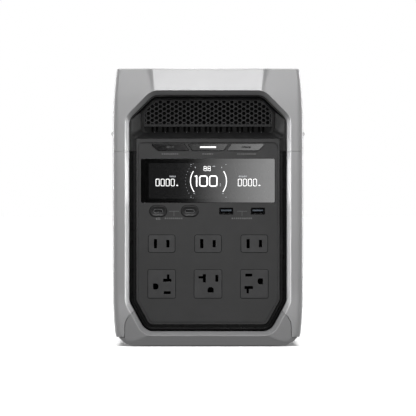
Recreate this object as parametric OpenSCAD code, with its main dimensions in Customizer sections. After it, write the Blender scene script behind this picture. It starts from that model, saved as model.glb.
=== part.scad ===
// Portable power station: a moulded case with a framed front and rear, a control panel with a
// screen, three push buttons, USB ports and mains outlets, grip recesses with air grilles at both
// ends, and the battery, inverter and fans inside.
// The front faces -Y, +Z is up, and the origin is on the floor at the middle of the case.

/* [Case] */
// Length of the case, front face to rear face
case_length = 398; // [380:1:420]
// Width across the belly of the case
case_width = 194.8; // [192:0.2:198]
// Height of the case, standing on its foot pads
case_height = 284; // [282:1:290]
// Thickness of the moulded shell walls
wall = 2.6; // [2.2:0.1:3]
// Height of the seam between the upper shell and the side shells
seam_z = 199.5; // [198:0.5:199.5]
// Height of the base skirt under the side shells
skirt_z = 9.4; // [8.6:0.2:10]
// Gap left between neighbouring mouldings
gap = 0.3; // [0.2:0.05:0.4]

/* [Framed opening] */
// Half width of the eight-sided opening, at the outer edge of its bevel
opening_half_w = 84.7; // [82:0.1:85]
// Height of the bar above the opening
bar_height = 22.5; // [20:0.5:24]
// Height of the lower edge of the opening
opening_z = 11.1; // [10.8:0.1:12]
// Size of the 45 degree upper corners
upper_corner = 26.9; // [24:0.1:28]
// Radius between the straight sides of the opening
opening_radius = 18; // [16:0.5:20]
// Width of the bevel round the opening, seen from the front
bevel_width = 4.2; // [3.6:0.1:4.4]
// Depth of the inner edge of the bevel behind the front face
bevel_depth = 9; // [8:0.25:9]

/* [Panel] */
// Distance from the opening's outer edge to the edge of the panel
panel_margin = 11.5; // [11.2:0.1:12]
// Height of the panel's upper ledge
panel_top = 212.1; // [211.5:0.1:212.5]
// Depth of the panel's face behind the front face of the case
face_depth = 9.5; // [9.2:0.1:10]
// Thickness of the panel
panel_thickness = 3; // [2.5:0.25:3.25]

/* [Controls] */
// Height of the middle of the button row
button_z = 203.8; // [203:0.1:204]
// Height of a button's cap
button_height = 7.4; // [6.5:0.1:7.4]
// Travel of a button
button_travel = 0.8; // [0.4:0.1:0.8]
// Width of the screen's cover lens
lens_width = 137; // [130:0.5:138]
// Height of the screen's cover lens
lens_height = 45.2; // [42:0.2:46]
// Height of the middle of the screen
lens_z = 169.5; // [168:0.25:170]

/* [Ports and outlets] */
// Height of the row of USB ports
usb_z = 138.3; // [136:0.1:139]
// Sideways place of the inner pair of USB ports
usb_inner_x = 18.65; // [17:0.05:20]
// Sideways place of the outer pair of USB ports
usb_outer_x = 51; // [48:0.1:53]
// Distance between neighbouring mains outlets
outlet_pitch = 47.4; // [44:0.1:50]
// Height of the upper row of mains outlets
upper_outlet_z = 105; // [103:0.25:106]
// Height of the lower row of mains outlets
lower_outlet_z = 63.8; // [62:0.2:65]

/* [Grip and grille] */
// Depth of the grip recess behind the front face
grip_depth = 34; // [30:0.5:36]
// Height of the lower lip of the grip recess
grip_z = 218.7; // [218:0.1:219]
// Distance between the rows of the hexagonal mesh
mesh_pitch = 4.74; // [4.5:0.02:5]
// Width of the webs between the hexagons
mesh_web = 1.1; // [0.9:0.05:1.4]

/* [Inside] */
// Size of one battery cell across the case
cell_w = 70; // [66:0.5:72]
// Size of one battery cell along the case
cell_l = 27; // [25:0.5:28]
// Height of one battery cell
cell_h = 115; // [110:0.5:117]
// Number of cells in each of the two rows
cells_per_row = 8; // [7:1:8]
// Size of a cooling fan's square frame
fan_size = 60; // [56:1:60]

/* [Hidden] */
// Sub-parts of the model, in the order in which the case is put together

// Chords in each rounded corner
arc_steps = 5;
// Points along each curved stretch of the case's outline
curve_steps = 8;
half_w = case_width / 2;
half_l = case_length / 2;

// Case outline: the sides are straight between the hip and the shoulder
shoulder_z = 223;
hip_z = 58;
top_draft = 4.1;
hip_draft = 4.6;
skirt_half_w = half_w - 6.1;
foot_half_w = 74;
top_chamfer = 2;
// The front is a flat centre facet with a facet swept back on each side of it
centre_facet = 55;
sweep = 0.17;
corner_radius = 9;
// The face leans back above the opening and tucks under below it
lean_z = 258;
lean = 0.055;
tuck_z = 12;
tuck = 0.26;
// Depth of the moulded collar round the opening
collar_depth = 15;
collar_width = 2.2;
// Seam between the side shells and the flared front of the base
flare_half_w = 84.9;
flare_corner_z = 27.6;
flare_radius = 19.4;
lower_corner_w = 18.1;
lower_corner_h = 33.5;
// Underside of the base, which stands on the foot pads
base_bottom = 1;
floor_top = 4.6;

// Case screws, at the corners of the base
screw_x = 68;
screw_y = 151;
screw_radius = 2;
eyelet_radius = 2.3;
eyelet_depth = 8.5;
eyelet_z = 217.2;
boss_radius = 5;
boss_top = 26;

// Button row: slanted edges part the three caps
button_slant = 5.3;
power_half_w = 21.4;
button_gap = 2.6;
outer_button_w = 35.6;
outer_button_slope = 7.8;
cap_depth = face_depth - 0.6;
flange_depth = face_depth + panel_thickness + 0.4;
stem_end = 17;
board_depth = 19.2;
board_thickness = 1.6;
board_height = 52;
board_z = lens_z + 12;
post_x = 70.9;
post_z = [160, 197];
light_half_w = [4.2, 8.2, 4.2];

// Ports and outlets
lens_depth = face_depth - 0.2;
usb_x = [-usb_outer_x, -usb_inner_x, usb_inner_x, usb_outer_x];
usb_c_w = 17.2;
usb_c_h = 11.1;
usb_a_w = 14.2;
usb_a_h = 6.9;
small_plate = [26.9, 17.5];
large_plate = [27.9, 28.7];
blade_spacing = 12.7;
earth_offset = 11.9;
// The slots sit off the middle of the large plate, to leave room for the side slot
socket_shift = [2.65, 5.7];
// The outer large outlets are turned on their sides
outlet_turn = [-90, 0, 90];

// Grip recess
mouth_half_w = 69;
liner_wall = 2.2;
pocket_half_w = 50;
pocket_top = case_height - 10;
lip_half_w = 78.2;
pocket_low = 253;
grille_bottom = 225.7;
mesh_bar = 2.2;
mesh_z = 227.36;
grille_thickness = 2;
filter_thickness = 3;
mesh_cell = mesh_pitch / sqrt(3);
mesh_hole = (mesh_pitch - mesh_web) / sqrt(3);
mesh_columns = 16;
mesh_rows = 7;
louvre_period = 11;
louvre_pairs = 5;
slot_w = 2.4;
slot_offset = 2.25;

// Inputs on the rear panel, seen from behind
inlet_z = 150;
inlet_x = -42;
dc_x = 2;
socket_x = 44;
breaker_z = 112;
socket_radius = 10.6;
cap_radius = 13.5;
hinge_rise = 17;
hinge_depth = face_depth - 3;
hinge_radius = 1.1;
cap_thickness = 2.4;

// Battery block
cell_gap = 1;
cell_floor = floor_top + 3.2;
block_l = cells_per_row * (cell_l + cell_gap) - cell_gap;
cell_top = cell_floor + cell_h;
// Chassis and inverter
bms_z = 128;
deck_z = 138;
deck_thickness = 2;
inverter_z = 148;
leg_x = 80;
leg_y = 132;
// Fans, side by side behind the rear grille
fan_x = 32;
fan_z = 241;
fan_thickness = 20;
fan_depth = 42;
fan_bore = fan_size / 2 - 1.6;
hub_radius = 13;
axle_radius = 1.5;
running_gap = 0.05;
blade_count = 7;
bracket_thickness = 2;

// ---------------------------------------------------------------------------
// Outlines
// ---------------------------------------------------------------------------

function unit(v) = v / norm(v);
function left_of(v) = [-v[1], v[0]];
function before(points, i) = points[(i + len(points) - 1) % len(points)];
function after(points, i) = points[(i + 1) % len(points)];
function radius_at(r, i) = is_list(r) ? r[i] : r;
function flipped(points) = [for (p = points) [-p[0], p[1]]];
function backwards(points) = [for (i = [len(points) - 1 : -1 : 0]) points[i]];

// The outline moved inwards by d, its points running counter-clockwise
function inset(points, d) = [
    for (i = [0 : len(points) - 1])
        let (a = left_of(unit(points[i] - before(points, i))))
        let (b = left_of(unit(after(points, i) - points[i])))
        points[i] + d * (a + b) / (1 + a * b)
];

// A corner between directions a and b, as the chords of an arc of radius r
function corner(p, a, b, r) =
    let (turn = atan2(a[0] * b[1] - a[1] * b[0], a * b))
    let (start = p - a * r * tan(abs(turn) / 2))
    let (centre = start + left_of(a) * r * sign(turn))
    let (spoke = start - centre)
    r <= 0 ? [p] : [
        for (k = [0 : arc_steps])
            let (t = turn * k / arc_steps)
            centre + [spoke[0] * cos(t) - spoke[1] * sin(t), spoke[0] * sin(t) + spoke[1] * cos(t)]
    ];

function rounded(points, r) = [
    for (i = [0 : len(points) - 1])
        let (a = unit(points[i] - before(points, i)))
        let (b = unit(after(points, i) - points[i]))
        each corner(points[i], a, b, radius_at(r, i))
];

function box_points(w, h) = [[-w, -h] / 2, [w, -h] / 2, [w, h] / 2, [-w, h] / 2];
function rounded_box(w, h, r) = rounded(box_points(w, h), r);
function moved(points, by) = [for (p = points) p + by];

// Half width of the shells at height z
function shell_half_w(z) =
    z > shoulder_z ? half_w - top_draft * pow((z - shoulder_z) / (case_height - shoulder_z), 2)
    : z < hip_z ? half_w - hip_draft * (1 - sqrt(1 - pow((hip_z - z) / (hip_z - skirt_z), 2)))
    : half_w;

// Right-hand edge of the shells, d inside their surface, open below the skirt
function shell_edge(d) = concat(
    [[shell_half_w(skirt_z) - d, -5]],
    [for (k = [0 : curve_steps])
        let (z = skirt_z + (hip_z - skirt_z) * (1 - cos(90 * k / curve_steps)))
        [shell_half_w(z) - d, z]],
    [for (k = [0 : curve_steps])
        let (z = shoulder_z + (case_height - top_chamfer - d - shoulder_z) * k / curve_steps)
        [shell_half_w(z) - d, z]],
    [[shell_half_w(case_height) - top_chamfer - d, case_height - d]]
);
function shell_outline(d) = concat(shell_edge(d), backwards(flipped(shell_edge(d))));

// Right-hand edge of the base, a curve from the foot out to the skirt
base_edge = [for (k = [0 : curve_steps])
    let (t = k / curve_steps)
    [foot_half_w + (skirt_half_w - foot_half_w) * t, skirt_z * t * t]];
base_outline = concat(base_edge, backwards(flipped(base_edge)));

// Plan of the case: centre facet, swept facets and rounded upright corners
plan_corner = [half_w, -half_l + sweep * (half_w - centre_facet)];
plan_points = [
    [-centre_facet, -half_l], [centre_facet, -half_l], plan_corner,
    [plan_corner[0], -plan_corner[1]], [centre_facet, half_l],
    [-centre_facet, half_l], [-plan_corner[0], -plan_corner[1]], [-plan_corner[0], plan_corner[1]]
];
plan_radii = [0, 0, corner_radius, corner_radius, 0, 0, corner_radius, corner_radius];

// Side profile of the case, with its leaning and tucked-under faces
profile_points = [
    [-half_l + 11, 0], [half_l - 11, 0], [half_l - tuck * (tuck_z - 5.8), 5.8], [half_l, tuck_z],
    [half_l, lean_z], [half_l - lean * (case_height - lean_z), case_height - top_chamfer],
    [half_l - 4, case_height], [-half_l + 4, case_height],
    [-half_l + lean * (case_height - lean_z), case_height - top_chamfer], [-half_l, lean_z],
    [-half_l, tuck_z], [-half_l + tuck * (tuck_z - 5.8), 5.8]
];

// Eight-sided opening
opening_top = case_height - bar_height;
opening_points = [
    [-opening_half_w + lower_corner_w, opening_z], [opening_half_w - lower_corner_w, opening_z],
    [opening_half_w, opening_z + lower_corner_h], [opening_half_w, opening_top - upper_corner],
    [opening_half_w - upper_corner, opening_top], [-opening_half_w + upper_corner, opening_top],
    [-opening_half_w, opening_top - upper_corner], [-opening_half_w, opening_z + lower_corner_h]
];
function opening(d) = rounded(inset(opening_points, d), opening_radius - d);

// Y of the front face above a point of the opening's edge
function face_y(x, z) = -half_l + max(
    0, sweep * (abs(x) - centre_facet), lean * (z - lean_z), tuck * (tuck_z - z)
);

// Outline of the panels: the opening's sides and lower corners under a straight ledge,
// d inside the edge, and `drop` below the ledge with corners of radius top_r
function panel_outline(d, drop = 0, top_r = 1) =
    let (p = inset(opening_points, panel_margin + d))
    let (r = max(opening_radius - panel_margin - d, 0.5))
    let (top = panel_top - drop)
    rounded(
        [p[0], p[1], p[2], [p[2][0], top], [p[7][0], top], p[7]],
        [r, r, r, top_r, top_r, r]
    );

// Outline of the grip recess: half width w, lower edge at `low`, its top d inside the opening
function recess(w, low, d) =
    let (p = inset(opening_points, d))
    let (shoulder = p[4][1] - (w - p[4][0]))
    rounded([[-w, low], [w, low], [w, shoulder], p[4], p[5], [-w, shoulder]], [6, 6, 4, 12, 12, 4]);
function mouth(d) = recess(mouth_half_w + d, grip_z - d, bevel_width + gap + liner_wall - d);

// Seam of the flared front of the base, d outside it
flare_points = [
    [-flare_half_w, -5], [flare_half_w, -5], [flare_half_w, flare_corner_z],
    [flare_half_w - 25, flare_corner_z + 22.6], [-flare_half_w + 25, flare_corner_z + 22.6],
    [-flare_half_w, flare_corner_z]
];
function flare(d) = rounded(inset(flare_points, -d), [0, 0, flare_radius, 0, 0, flare_radius]);

// Outline of one of the three buttons, d inside the hole in the panel
power_points = [
    [-power_half_w + button_slant, -button_height / 2], [power_half_w - button_slant, -button_height / 2],
    [power_half_w, button_height / 2], [-power_half_w, button_height / 2]
];
outer_start = power_half_w + button_gap;
outer_points = [
    [outer_start - button_slant, -button_height / 2],
    [outer_start + outer_button_w - outer_button_slope, -button_height / 2],
    [outer_start + outer_button_w, button_height / 2], [outer_start, button_height / 2]
];
function button_outline(i, d) =
    moved(
        i == 1 ? rounded(inset(power_points, d), max(1 - d, 0.2))
        : i == 2 ? rounded(inset(outer_points, d), [0.6, 4, 1.2, 0.6])
        : backwards(flipped(rounded(inset(outer_points, d), [0.6, 4, 1.2, 0.6]))),
        [0, button_z]
    );
light_x = [-39, 0, 39];

// ---------------------------------------------------------------------------
// Building blocks
// ---------------------------------------------------------------------------

// Y at a depth behind the front face
function front(depth) = -half_l + depth;

// An upright outline extruded along Y between two depths behind the front face
module sunk(from, to) {
    translate([0, front(to), 0])
        rotate([90, 0, 0])
            linear_extrude(to - from)
                children();
}

// An upright outline extruded along X
module across(from, to) {
    translate([from, 0, 0])
        rotate([90, 0, 90])
            linear_extrude(to - from)
                children();
}

// A block given by its lowest and highest corners
module block(low, high) {
    translate(low)
        cube(high - low);
}

// Whatever is built at the front, turned to the rear
module at_rear() {
    rotate([0, 0, 180])
        children();
}

module at_both_ends() {
    children();
    at_rear()
        children();
}

// The space between two heights
module slab(low, high) {
    block([-half_w - 5, -half_l - 5, low], [half_w + 5, half_l + 5, high]);
}

// A closed skin over rings of points that run counter-clockwise, listed front to back
module loft(rings) {
    n = len(rings[0]);
    last = (len(rings) - 1) * n;
    polyhedron(
        points = [for (ring = rings) each ring],
        faces = concat(
            [[for (i = [n - 1 : -1 : 0]) i]],
            [for (j = [0 : len(rings) - 2]) for (i = [0 : n - 1])
                let (k = (i + 1) % n)
                [j * n + i, j * n + k, (j + 1) * n + k, (j + 1) * n + i]],
            [[for (i = [0 : n - 1]) last + i]]
        )
    );
}

function ring_at(points, y) = [for (p = points) [p[0], y, p[1]]];

// The case as one solid within an upright outline, d inside its front, rear and top
module envelope(outline, d) {
    intersection() {
        sunk(-5, case_length + 5)
            polygon(outline);
        across(-half_w - 5, half_w + 5)
            polygon(inset(profile_points, d));
        translate([0, 0, -5])
            linear_extrude(case_height + 10)
                polygon(rounded(inset(plan_points, d), plan_radii));
    }
}

// The bevelled hole, whose outer edge follows the facets of the face
module bevel_cutter() {
    outer = [for (p = opening(0)) [p[0], face_y(p[0], p[1]), p[1]]];
    inner = ring_at(opening(bevel_width), front(bevel_depth));
    flared = [for (i = [0 : len(inner) - 1]) inner[i] + 1.4 * (outer[i] - inner[i])];
    loft([
        [for (p = flared) [p[0], front(-20), p[2]]],
        flared,
        inner,
        ring_at(opening(bevel_width), front(collar_depth + 10))
    ]);
}

// All the shells and the flares of the base as one hollow case with bevelled ends
module hollow_case() {
    difference() {
        envelope(shell_outline(0), 0);
        difference() {
            envelope(shell_outline(wall), wall);
            at_both_ends()
                sunk(-5, collar_depth)
                    polygon(opening(-collar_width));
        }
        at_both_ends()
            bevel_cutter();
    }
}

// The space of the base's flare, d outside its seam
module flare_space(d) {
    sunk(-5, collar_depth + 3)
        polygon(flare(d));
}

module at_screws() {
    for (x = [-screw_x, screw_x], y = [-screw_y, screw_y])
        translate([x, y, 0])
            children();
}

// ---------------------------------------------------------------------------
// Case
// ---------------------------------------------------------------------------

module upper_shell() {
    color("gainsboro")
        intersection() {
            hollow_case();
            slab(seam_z + gap / 2, case_height + 5);
        }
}

// One side of the case below the seam, wrapped round to the front and rear openings
module side_shell(side) {
    color("gainsboro")
        difference() {
            union() {
                intersection() {
                    hollow_case();
                    slab(skirt_z + gap / 2, seam_z - gap / 2);
                    translate([side > 0 ? 0 : -case_width, -case_length, 0])
                        cube([case_width, 2 * case_length, case_height]);
                }
                // Bosses for the case screws, each on a rib to the wall
                for (y = [-screw_y, screw_y]) {
                    translate([side * screw_x, y, skirt_z + gap])
                        cylinder(r = boss_radius, h = boss_top - skirt_z, $fn = 48);
                    translate([side * (screw_x + half_w - wall) / 2, y, (boss_top + skirt_z) / 2 + gap])
                        cube([half_w - screw_x - 6, 2.4, boss_top - skirt_z - 4], center = true);
                }
            }
            at_both_ends()
                flare_space(gap);
            at_screws()
                translate([0, 0, skirt_z - 1])
                    cylinder(r = screw_radius, h = boss_top - skirt_z - 3, $fn = 48);
        }
}

module base_tray() {
    color("darkgray")
        difference() {
            union() {
                difference() {
                    intersection() {
                        envelope(base_outline, 0);
                        slab(base_bottom, skirt_z - gap / 2);
                    }
                    // Room for the cell tray above a flat floor
                    block([-foot_half_w, -half_l + 22, floor_top], [foot_half_w, half_l - 22, skirt_z]);
                }
                at_both_ends()
                    intersection() {
                        hollow_case();
                        flare_space(0);
                        slab(skirt_z - 2, case_height);
                    }
            }
            at_screws() {
                translate([0, 0, -1])
                    cylinder(r = screw_radius + 0.4, h = 30, $fn = 48);
                translate([0, 0, -1])
                    cylinder(r = 4.4, h = 4, $fn = 48);
            }
            foot_strips(0.1);
        }
}

// The space of the two foot strips, d larger all round
module foot_strips(d) {
    for (y = [-half_l + 30, half_l - 30])
        translate([0, y, -d])
            linear_extrude(2.4 + 2 * d)
                polygon(rounded_box(2 * foot_half_w - 6 + 2 * d, 16 + 2 * d, 6));
}

module foot_pads() {
    color("black")
        foot_strips(0);
}

module case_screws() {
    color("silver")
        at_screws() {
            difference() {
                translate([0, 0, 1.6])
                    cylinder(r = 4, h = 1.4, $fn = 48);
                translate([0, 0, 1])
                    cylinder(r = 1.6, h = 1.4, $fn = 6);
            }
            translate([0, 0, 3])
                cylinder(r = screw_radius - 0.02, h = 16, $fn = 48);
        }
}

// Small lanyard eyelet that grows out of a front corner of the upper shell
module eyelet(side) {
    color("silver")
        difference() {
            sunk(eyelet_depth, eyelet_depth + 3)
                translate([side * (half_w - 0.9), eyelet_z])
                    difference() {
                        circle(r = eyelet_radius, $fn = 32);
                        circle(r = eyelet_radius - 1.5, $fn = 32);
                    }
            envelope(shell_outline(0), 0);
        }
}

// ---------------------------------------------------------------------------
// Frames, panels, grip recesses and grilles at both ends
// ---------------------------------------------------------------------------

// Black frame between the bevel and the panel, with a raised bead round its middle
module frame_ring() {
    difference() {
        union() {
            sunk(bevel_depth + 2.4, bevel_depth + 6)
                polygon(opening(bevel_width + gap));
            sunk(bevel_depth + 0.8, bevel_depth + 6)
                polygon(opening(bevel_width + 1.6));
        }
        sunk(bevel_depth, bevel_depth + 2.4)
            polygon(opening(bevel_width + 3.8));
        sunk(bevel_depth, bevel_depth + 8)
            polygon(opening(panel_margin - gap));
    }
}

module bezel() {
    intersection() {
        frame_ring();
        slab(0, seam_z - gap / 2);
    }
}

// Panel plate with a raised rim and a groove inside it
module panel_plate() {
    difference() {
        union() {
            sunk(face_depth, face_depth + panel_thickness)
                polygon(panel_outline(0));
            sunk(face_depth - 0.6, face_depth + 1)
                polygon(panel_outline(0));
        }
        sunk(face_depth - 2, face_depth)
            polygon(panel_outline(1.5, 3.4, 5));
        difference() {
            sunk(face_depth - 1, face_depth + 0.7)
                polygon(panel_outline(1.5, 3.4, 5));
            sunk(face_depth - 1, face_depth + 1)
                polygon(panel_outline(2.3, 4.2, 4.2));
        }
    }
}

// Box-shaped liner of the grip recess, with finger room up behind the bar
module grip_liner() {
    difference() {
        union() {
            intersection() {
                frame_ring();
                slab(seam_z + gap / 2, panel_top + 5);
            }
            intersection() {
                sunk(bevel_depth + 0.8, bevel_depth + 12)
                    polygon(opening(bevel_width + gap));
                slab(panel_top + gap, case_height);
            }
            sunk(bevel_depth + 3, grip_depth + liner_wall)
                polygon(mouth(liner_wall));
            block(
                [-pocket_half_w - liner_wall, front(collar_depth + gap), pocket_low],
                [pocket_half_w + liner_wall, front(grip_depth + liner_wall), pocket_top + liner_wall]
            );
        }
        // Sloping lip between the frame and the recess
        hull() {
            sunk(bevel_depth - 1, bevel_depth + 0.9)
                polygon(recess(lip_half_w, panel_top + gap + 0.6, bevel_width + gap + 1.2));
            sunk(bevel_depth + 9, bevel_depth + 10)
                polygon(mouth(0));
        }
        sunk(bevel_depth - 1, grip_depth)
            polygon(mouth(0));
        block(
            [-pocket_half_w, front(collar_depth + gap + liner_wall), pocket_low - 5],
            [pocket_half_w, front(grip_depth), pocket_top]
        );
        // Window for the grille and the louvre
        sunk(grip_depth - 1, grip_depth + liner_wall + 1)
            polygon(window(0));
    }
}

// Outline of the window behind the recess, d inside its edge
function window(d) = recess(mouth_half_w - 3 - d, grip_z + d, bevel_width + gap + liner_wall + 1.5 + d);

// Sheet of hexagonal mesh above a plain bar
module grille() {
    sunk(grip_depth + 0.1, grip_depth + 0.1 + grille_thickness)
        difference() {
            intersection() {
                polygon(window(0.15));
                translate([-half_w, grille_bottom])
                    square([case_width, 60]);
            }
            intersection() {
                for (column = [-mesh_columns : mesh_columns], row = [0 : mesh_rows - 1])
                    translate([
                        column * 1.5 * mesh_cell,
                        mesh_z + (row + (column % 2 == 0 ? 0 : 0.5)) * mesh_pitch
                    ])
                        circle(r = mesh_hole, $fn = 6);
                intersection() {
                    polygon(window(1));
                    translate([-half_w, grille_bottom + mesh_bar])
                        square([case_width, 60]);
                }
            }
        }
}

// Row of upright air slots below the mesh, in pairs
module louvre() {
    sunk(grip_depth + 0.1, grip_depth + 0.1 + grille_thickness)
        difference() {
            intersection() {
                polygon(window(0.15));
                translate([-half_w, 0])
                    square([case_width, grille_bottom - 0.1]);
            }
            for (i = [-louvre_pairs : louvre_pairs], side = [-1, 1])
                translate([i * louvre_period + side * slot_offset, grip_z + 4])
                    square([slot_w, 5.4], center = true);
        }
}

// ---------------------------------------------------------------------------
// Front controls
// ---------------------------------------------------------------------------

// The holes through the front panel
module front_holes() {
    sunk(face_depth - 2, face_depth + panel_thickness + 1) {
        polygon(moved(rounded_box(lens_width + 0.4, lens_height + 0.4, 1.6), [0, lens_z]));
        for (i = [0 : 2]) {
            polygon(button_outline(i, 0));
            polygon(moved(rounded_box(small_plate[0] + 0.3, small_plate[1] + 0.3, 2.2), small_place(i)));
            polygon(moved(rounded_box(large_plate[0] + 0.3, large_plate[1] + 0.3, 1.6), large_place(i)));
        }
        for (i = [0 : 1]) {
            polygon(moved(rounded_box(usb_c_w + 0.3, usb_c_h + 0.3, (usb_c_h + 0.2) / 2), [usb_x[i], usb_z]));
            polygon(moved(rounded_box(usb_a_w + 0.3, usb_a_h + 0.3, 0.8), [usb_x[i + 2], usb_z]));
        }
    }
}

function small_place(i) = [(i - 1) * outlet_pitch, upper_outlet_z];
function large_place(i) = [(i - 1) * outlet_pitch, lower_outlet_z];

module front_panel() {
    color("dimgray") {
        difference() {
            panel_plate();
            front_holes();
        }
        // Posts that carry the control board
        for (x = [-post_x, post_x], z = post_z)
            sunk(face_depth + panel_thickness - 0.5, board_depth)
                translate([x, z])
                    circle(r = 1.6, $fn = 32);
    }
}

module front_bezel() {
    color("black")
        bezel();
}

module front_grip_liner() {
    color("black")
        grip_liner();
}

module front_grille() {
    color("dimgray")
        grille();
}

module front_louvre() {
    color("dimgray")
        louvre();
}

// Foam dust filter behind the front grille and louvre
module front_filter() {
    filter_depth = grip_depth + liner_wall + gap;
    color("black")
        sunk(filter_depth, filter_depth + filter_thickness)
            polygon(window(-3));
}

module screen_lens() {
    color("black")
        sunk(lens_depth, lens_depth + 1.8)
            polygon(moved(rounded_box(lens_width, lens_height, 1.5), [0, lens_z]));
}

module display_module() {
    color("gray")
        sunk(lens_depth + 2.2, lens_depth + 7)
            polygon(moved(box_points(lens_width - 10, lens_height - 5), [0, lens_z]));
}

// Circuit board behind the panel, with a switch behind each button
module control_board() {
    color("green")
        sunk(board_depth, board_depth + board_thickness)
            polygon(moved(box_points(2 * post_x + 3.6, board_height), [0, board_z]));
    color("gray")
        for (x = light_x)
            sunk(stem_end + button_travel + 0.2, board_depth)
                polygon(moved(box_points(6, 6), [x, button_z]));
}

// Cap, flange behind the panel and stem of one button, with a pocket for its light bar
module button(i) {
    color("dimgray")
        difference() {
            union() {
                sunk(cap_depth, flange_depth + 1)
                    polygon(button_outline(i, 0.25));
                sunk(flange_depth, flange_depth + 1)
                    polygon(button_outline(i, -0.7));
                sunk(flange_depth, stem_end)
                    polygon(moved(box_points(4, 4), [light_x[i], button_z]));
            }
            sunk(cap_depth - 1, cap_depth + 2)
                polygon(moved(box_points(2 * light_half_w[i] + 0.1, 1.7), [light_x[i], button_z]));
        }
}

// Light bar set in the face of a button
module button_light(i) {
    color("white")
        sunk(cap_depth + 0.05, cap_depth + 1.95)
            polygon(moved(box_points(2 * light_half_w[i], 1.6), [light_x[i], button_z]));
}

// Oval surround with a metal-shelled socket and its tongue
module usb_c_port(i) {
    color("darkgray")
        difference() {
            sunk(face_depth - 0.3, face_depth + 8)
                polygon(moved(rounded_box(usb_c_w, usb_c_h, usb_c_h / 2 - 0.1), [usb_x[i], usb_z]));
            sunk(face_depth - 1, face_depth + 7)
                polygon(moved(rounded_box(8.9, 3.3, 1.6), [usb_x[i], usb_z]));
        }
    color("black")
        sunk(face_depth + 0.8, face_depth + 7)
            polygon(moved(box_points(6.6, 0.8), [usb_x[i], usb_z]));
}

// Rectangular metal shell with a tongue near its upper side
module usb_a_port(i) {
    color("silver")
        difference() {
            sunk(face_depth - 0.2, face_depth + 14)
                polygon(moved(rounded_box(usb_a_w, usb_a_h, 0.7), [usb_x[i + 2], usb_z]));
            sunk(face_depth - 1, face_depth + 13)
                polygon(moved(rounded_box(12.5, 5.1, 0.5), [usb_x[i + 2], usb_z]));
        }
    color("steelblue")
        sunk(face_depth + 1, face_depth + 13)
            polygon(moved(box_points(11.1, 1.9), [usb_x[i + 2], usb_z + 0.7]));
}

// Two-blade outlet: a face plate with a contact body behind it
module outlet_15a(i) {
    color("dimgray")
        difference() {
            union() {
                sunk(face_depth - 0.2, face_depth + 4)
                    polygon(moved(rounded_box(small_plate[0], small_plate[1], 2.1), small_place(i)));
                sunk(face_depth + 3.2, face_depth + 22)
                    polygon(moved(box_points(small_plate[0] + 3, small_plate[1] - 1), small_place(i)));
            }
            for (side = [-1, 1])
                sunk(face_depth - 1, face_depth + 18)
                    polygon(moved(
                        box_points(3.2, side < 0 ? 9.4 : 7.6),
                        small_place(i) + [side * blade_spacing / 2, 0]
                    ));
        }
}

// Slots of a three-pole outlet with a sideways slot, about the middle of its plate
module large_slots() {
    translate(socket_shift) {
        translate([-blade_spacing / 2, 0])
            square([3, 8.6], center = true);
        translate([-blade_spacing / 2 - 6, -0.2])
            square([6, 2.4]);
        translate([blade_spacing / 2, 0])
            square([3, 7], center = true);
        translate([0, -earth_offset])
            polygon(rounded([[-3.1, -2.6], [3.1, -2.6], [3.1, 2.9], [-3.1, 2.9]], [0.3, 0.3, 2.6, 2.6]));
    }
}

module outlet_20a(i) {
    place = large_place(i);
    color("dimgray")
        difference() {
            union() {
                sunk(face_depth - 0.2, face_depth + 4)
                    polygon(moved(rounded_box(large_plate[0], large_plate[1], 1.5), place));
                sunk(face_depth + 3.2, face_depth + 22)
                    polygon(moved(box_points(large_plate[0] + 3, large_plate[1] + 2), place));
            }
            translate([place[0], 0, place[1]])
                rotate([0, -outlet_turn[i], 0])
                    sunk(face_depth - 1, face_depth + 18)
                        large_slots();
        }
}

// ---------------------------------------------------------------------------
// Rear panel and inputs, built at the front and turned round
// ---------------------------------------------------------------------------

module rear_bezel() {
    color("black")
        at_rear()
            bezel();
}

module rear_grip_liner() {
    color("black")
        at_rear()
            grip_liner();
}

module rear_grille() {
    color("dimgray")
        at_rear()
            grille();
}

module rear_louvre() {
    color("dimgray")
        at_rear()
            louvre();
}

// Six-sided outline of an appliance inlet, its two upper corners cut off
function inlet_outline(w, h, cut) =
    moved([[-w, -h] / 2, [w, -h] / 2, [w / 2, h / 2 - cut], [w / 2 - cut, h / 2],
           [-w / 2 + cut, h / 2], [-w / 2, h / 2 - cut]], [inlet_x, inlet_z]);

module rear_panel() {
    color("dimgray")
        at_rear()
            difference() {
                panel_plate();
                sunk(face_depth - 2, face_depth + panel_thickness + 1) {
                    polygon(inlet_outline(30.3, 22.3, 4));
                    translate([dc_x, inlet_z])
                        circle(r = 7.15, $fn = 64);
                    translate([socket_x, inlet_z])
                        circle(r = 13.15, $fn = 64);
                    translate([inlet_x, breaker_z])
                        circle(r = 7.15, $fn = 64);
                }
            }
}

module ac_inlet() {
    color("black")
        at_rear()
            difference() {
                sunk(face_depth - 1.2, face_depth + 24)
                    polygon(inlet_outline(30, 22, 4));
                sunk(face_depth - 2, face_depth + 16)
                    polygon(inlet_outline(24.4, 16.6, 4));
            }
    color("silver")
        at_rear()
            for (pin = [[-7, -2], [0, 2], [7, -2]])
                sunk(face_depth + 1.5, face_depth + 16)
                    polygon(moved(box_points(2, 4), [inlet_x, inlet_z] + pin));
}

module dc_inlet() {
    color("black")
        at_rear()
            difference() {
                union() {
                    sunk(face_depth - 1.2, face_depth + 18)
                        translate([dc_x, inlet_z])
                            circle(r = 7, $fn = 64);
                    sunk(face_depth - 1.2, face_depth - 0.05)
                        translate([dc_x, inlet_z])
                            circle(r = 9.5, $fn = 64);
                }
                sunk(face_depth - 2, face_depth + 14)
                    translate([dc_x, inlet_z])
                        circle(r = 4.1, $fn = 64);
            }
    color("silver")
        at_rear()
            sunk(face_depth + 2, face_depth + 14)
                translate([dc_x, inlet_z])
                    circle(r = 0.6, $fn = 32);
}

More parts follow.
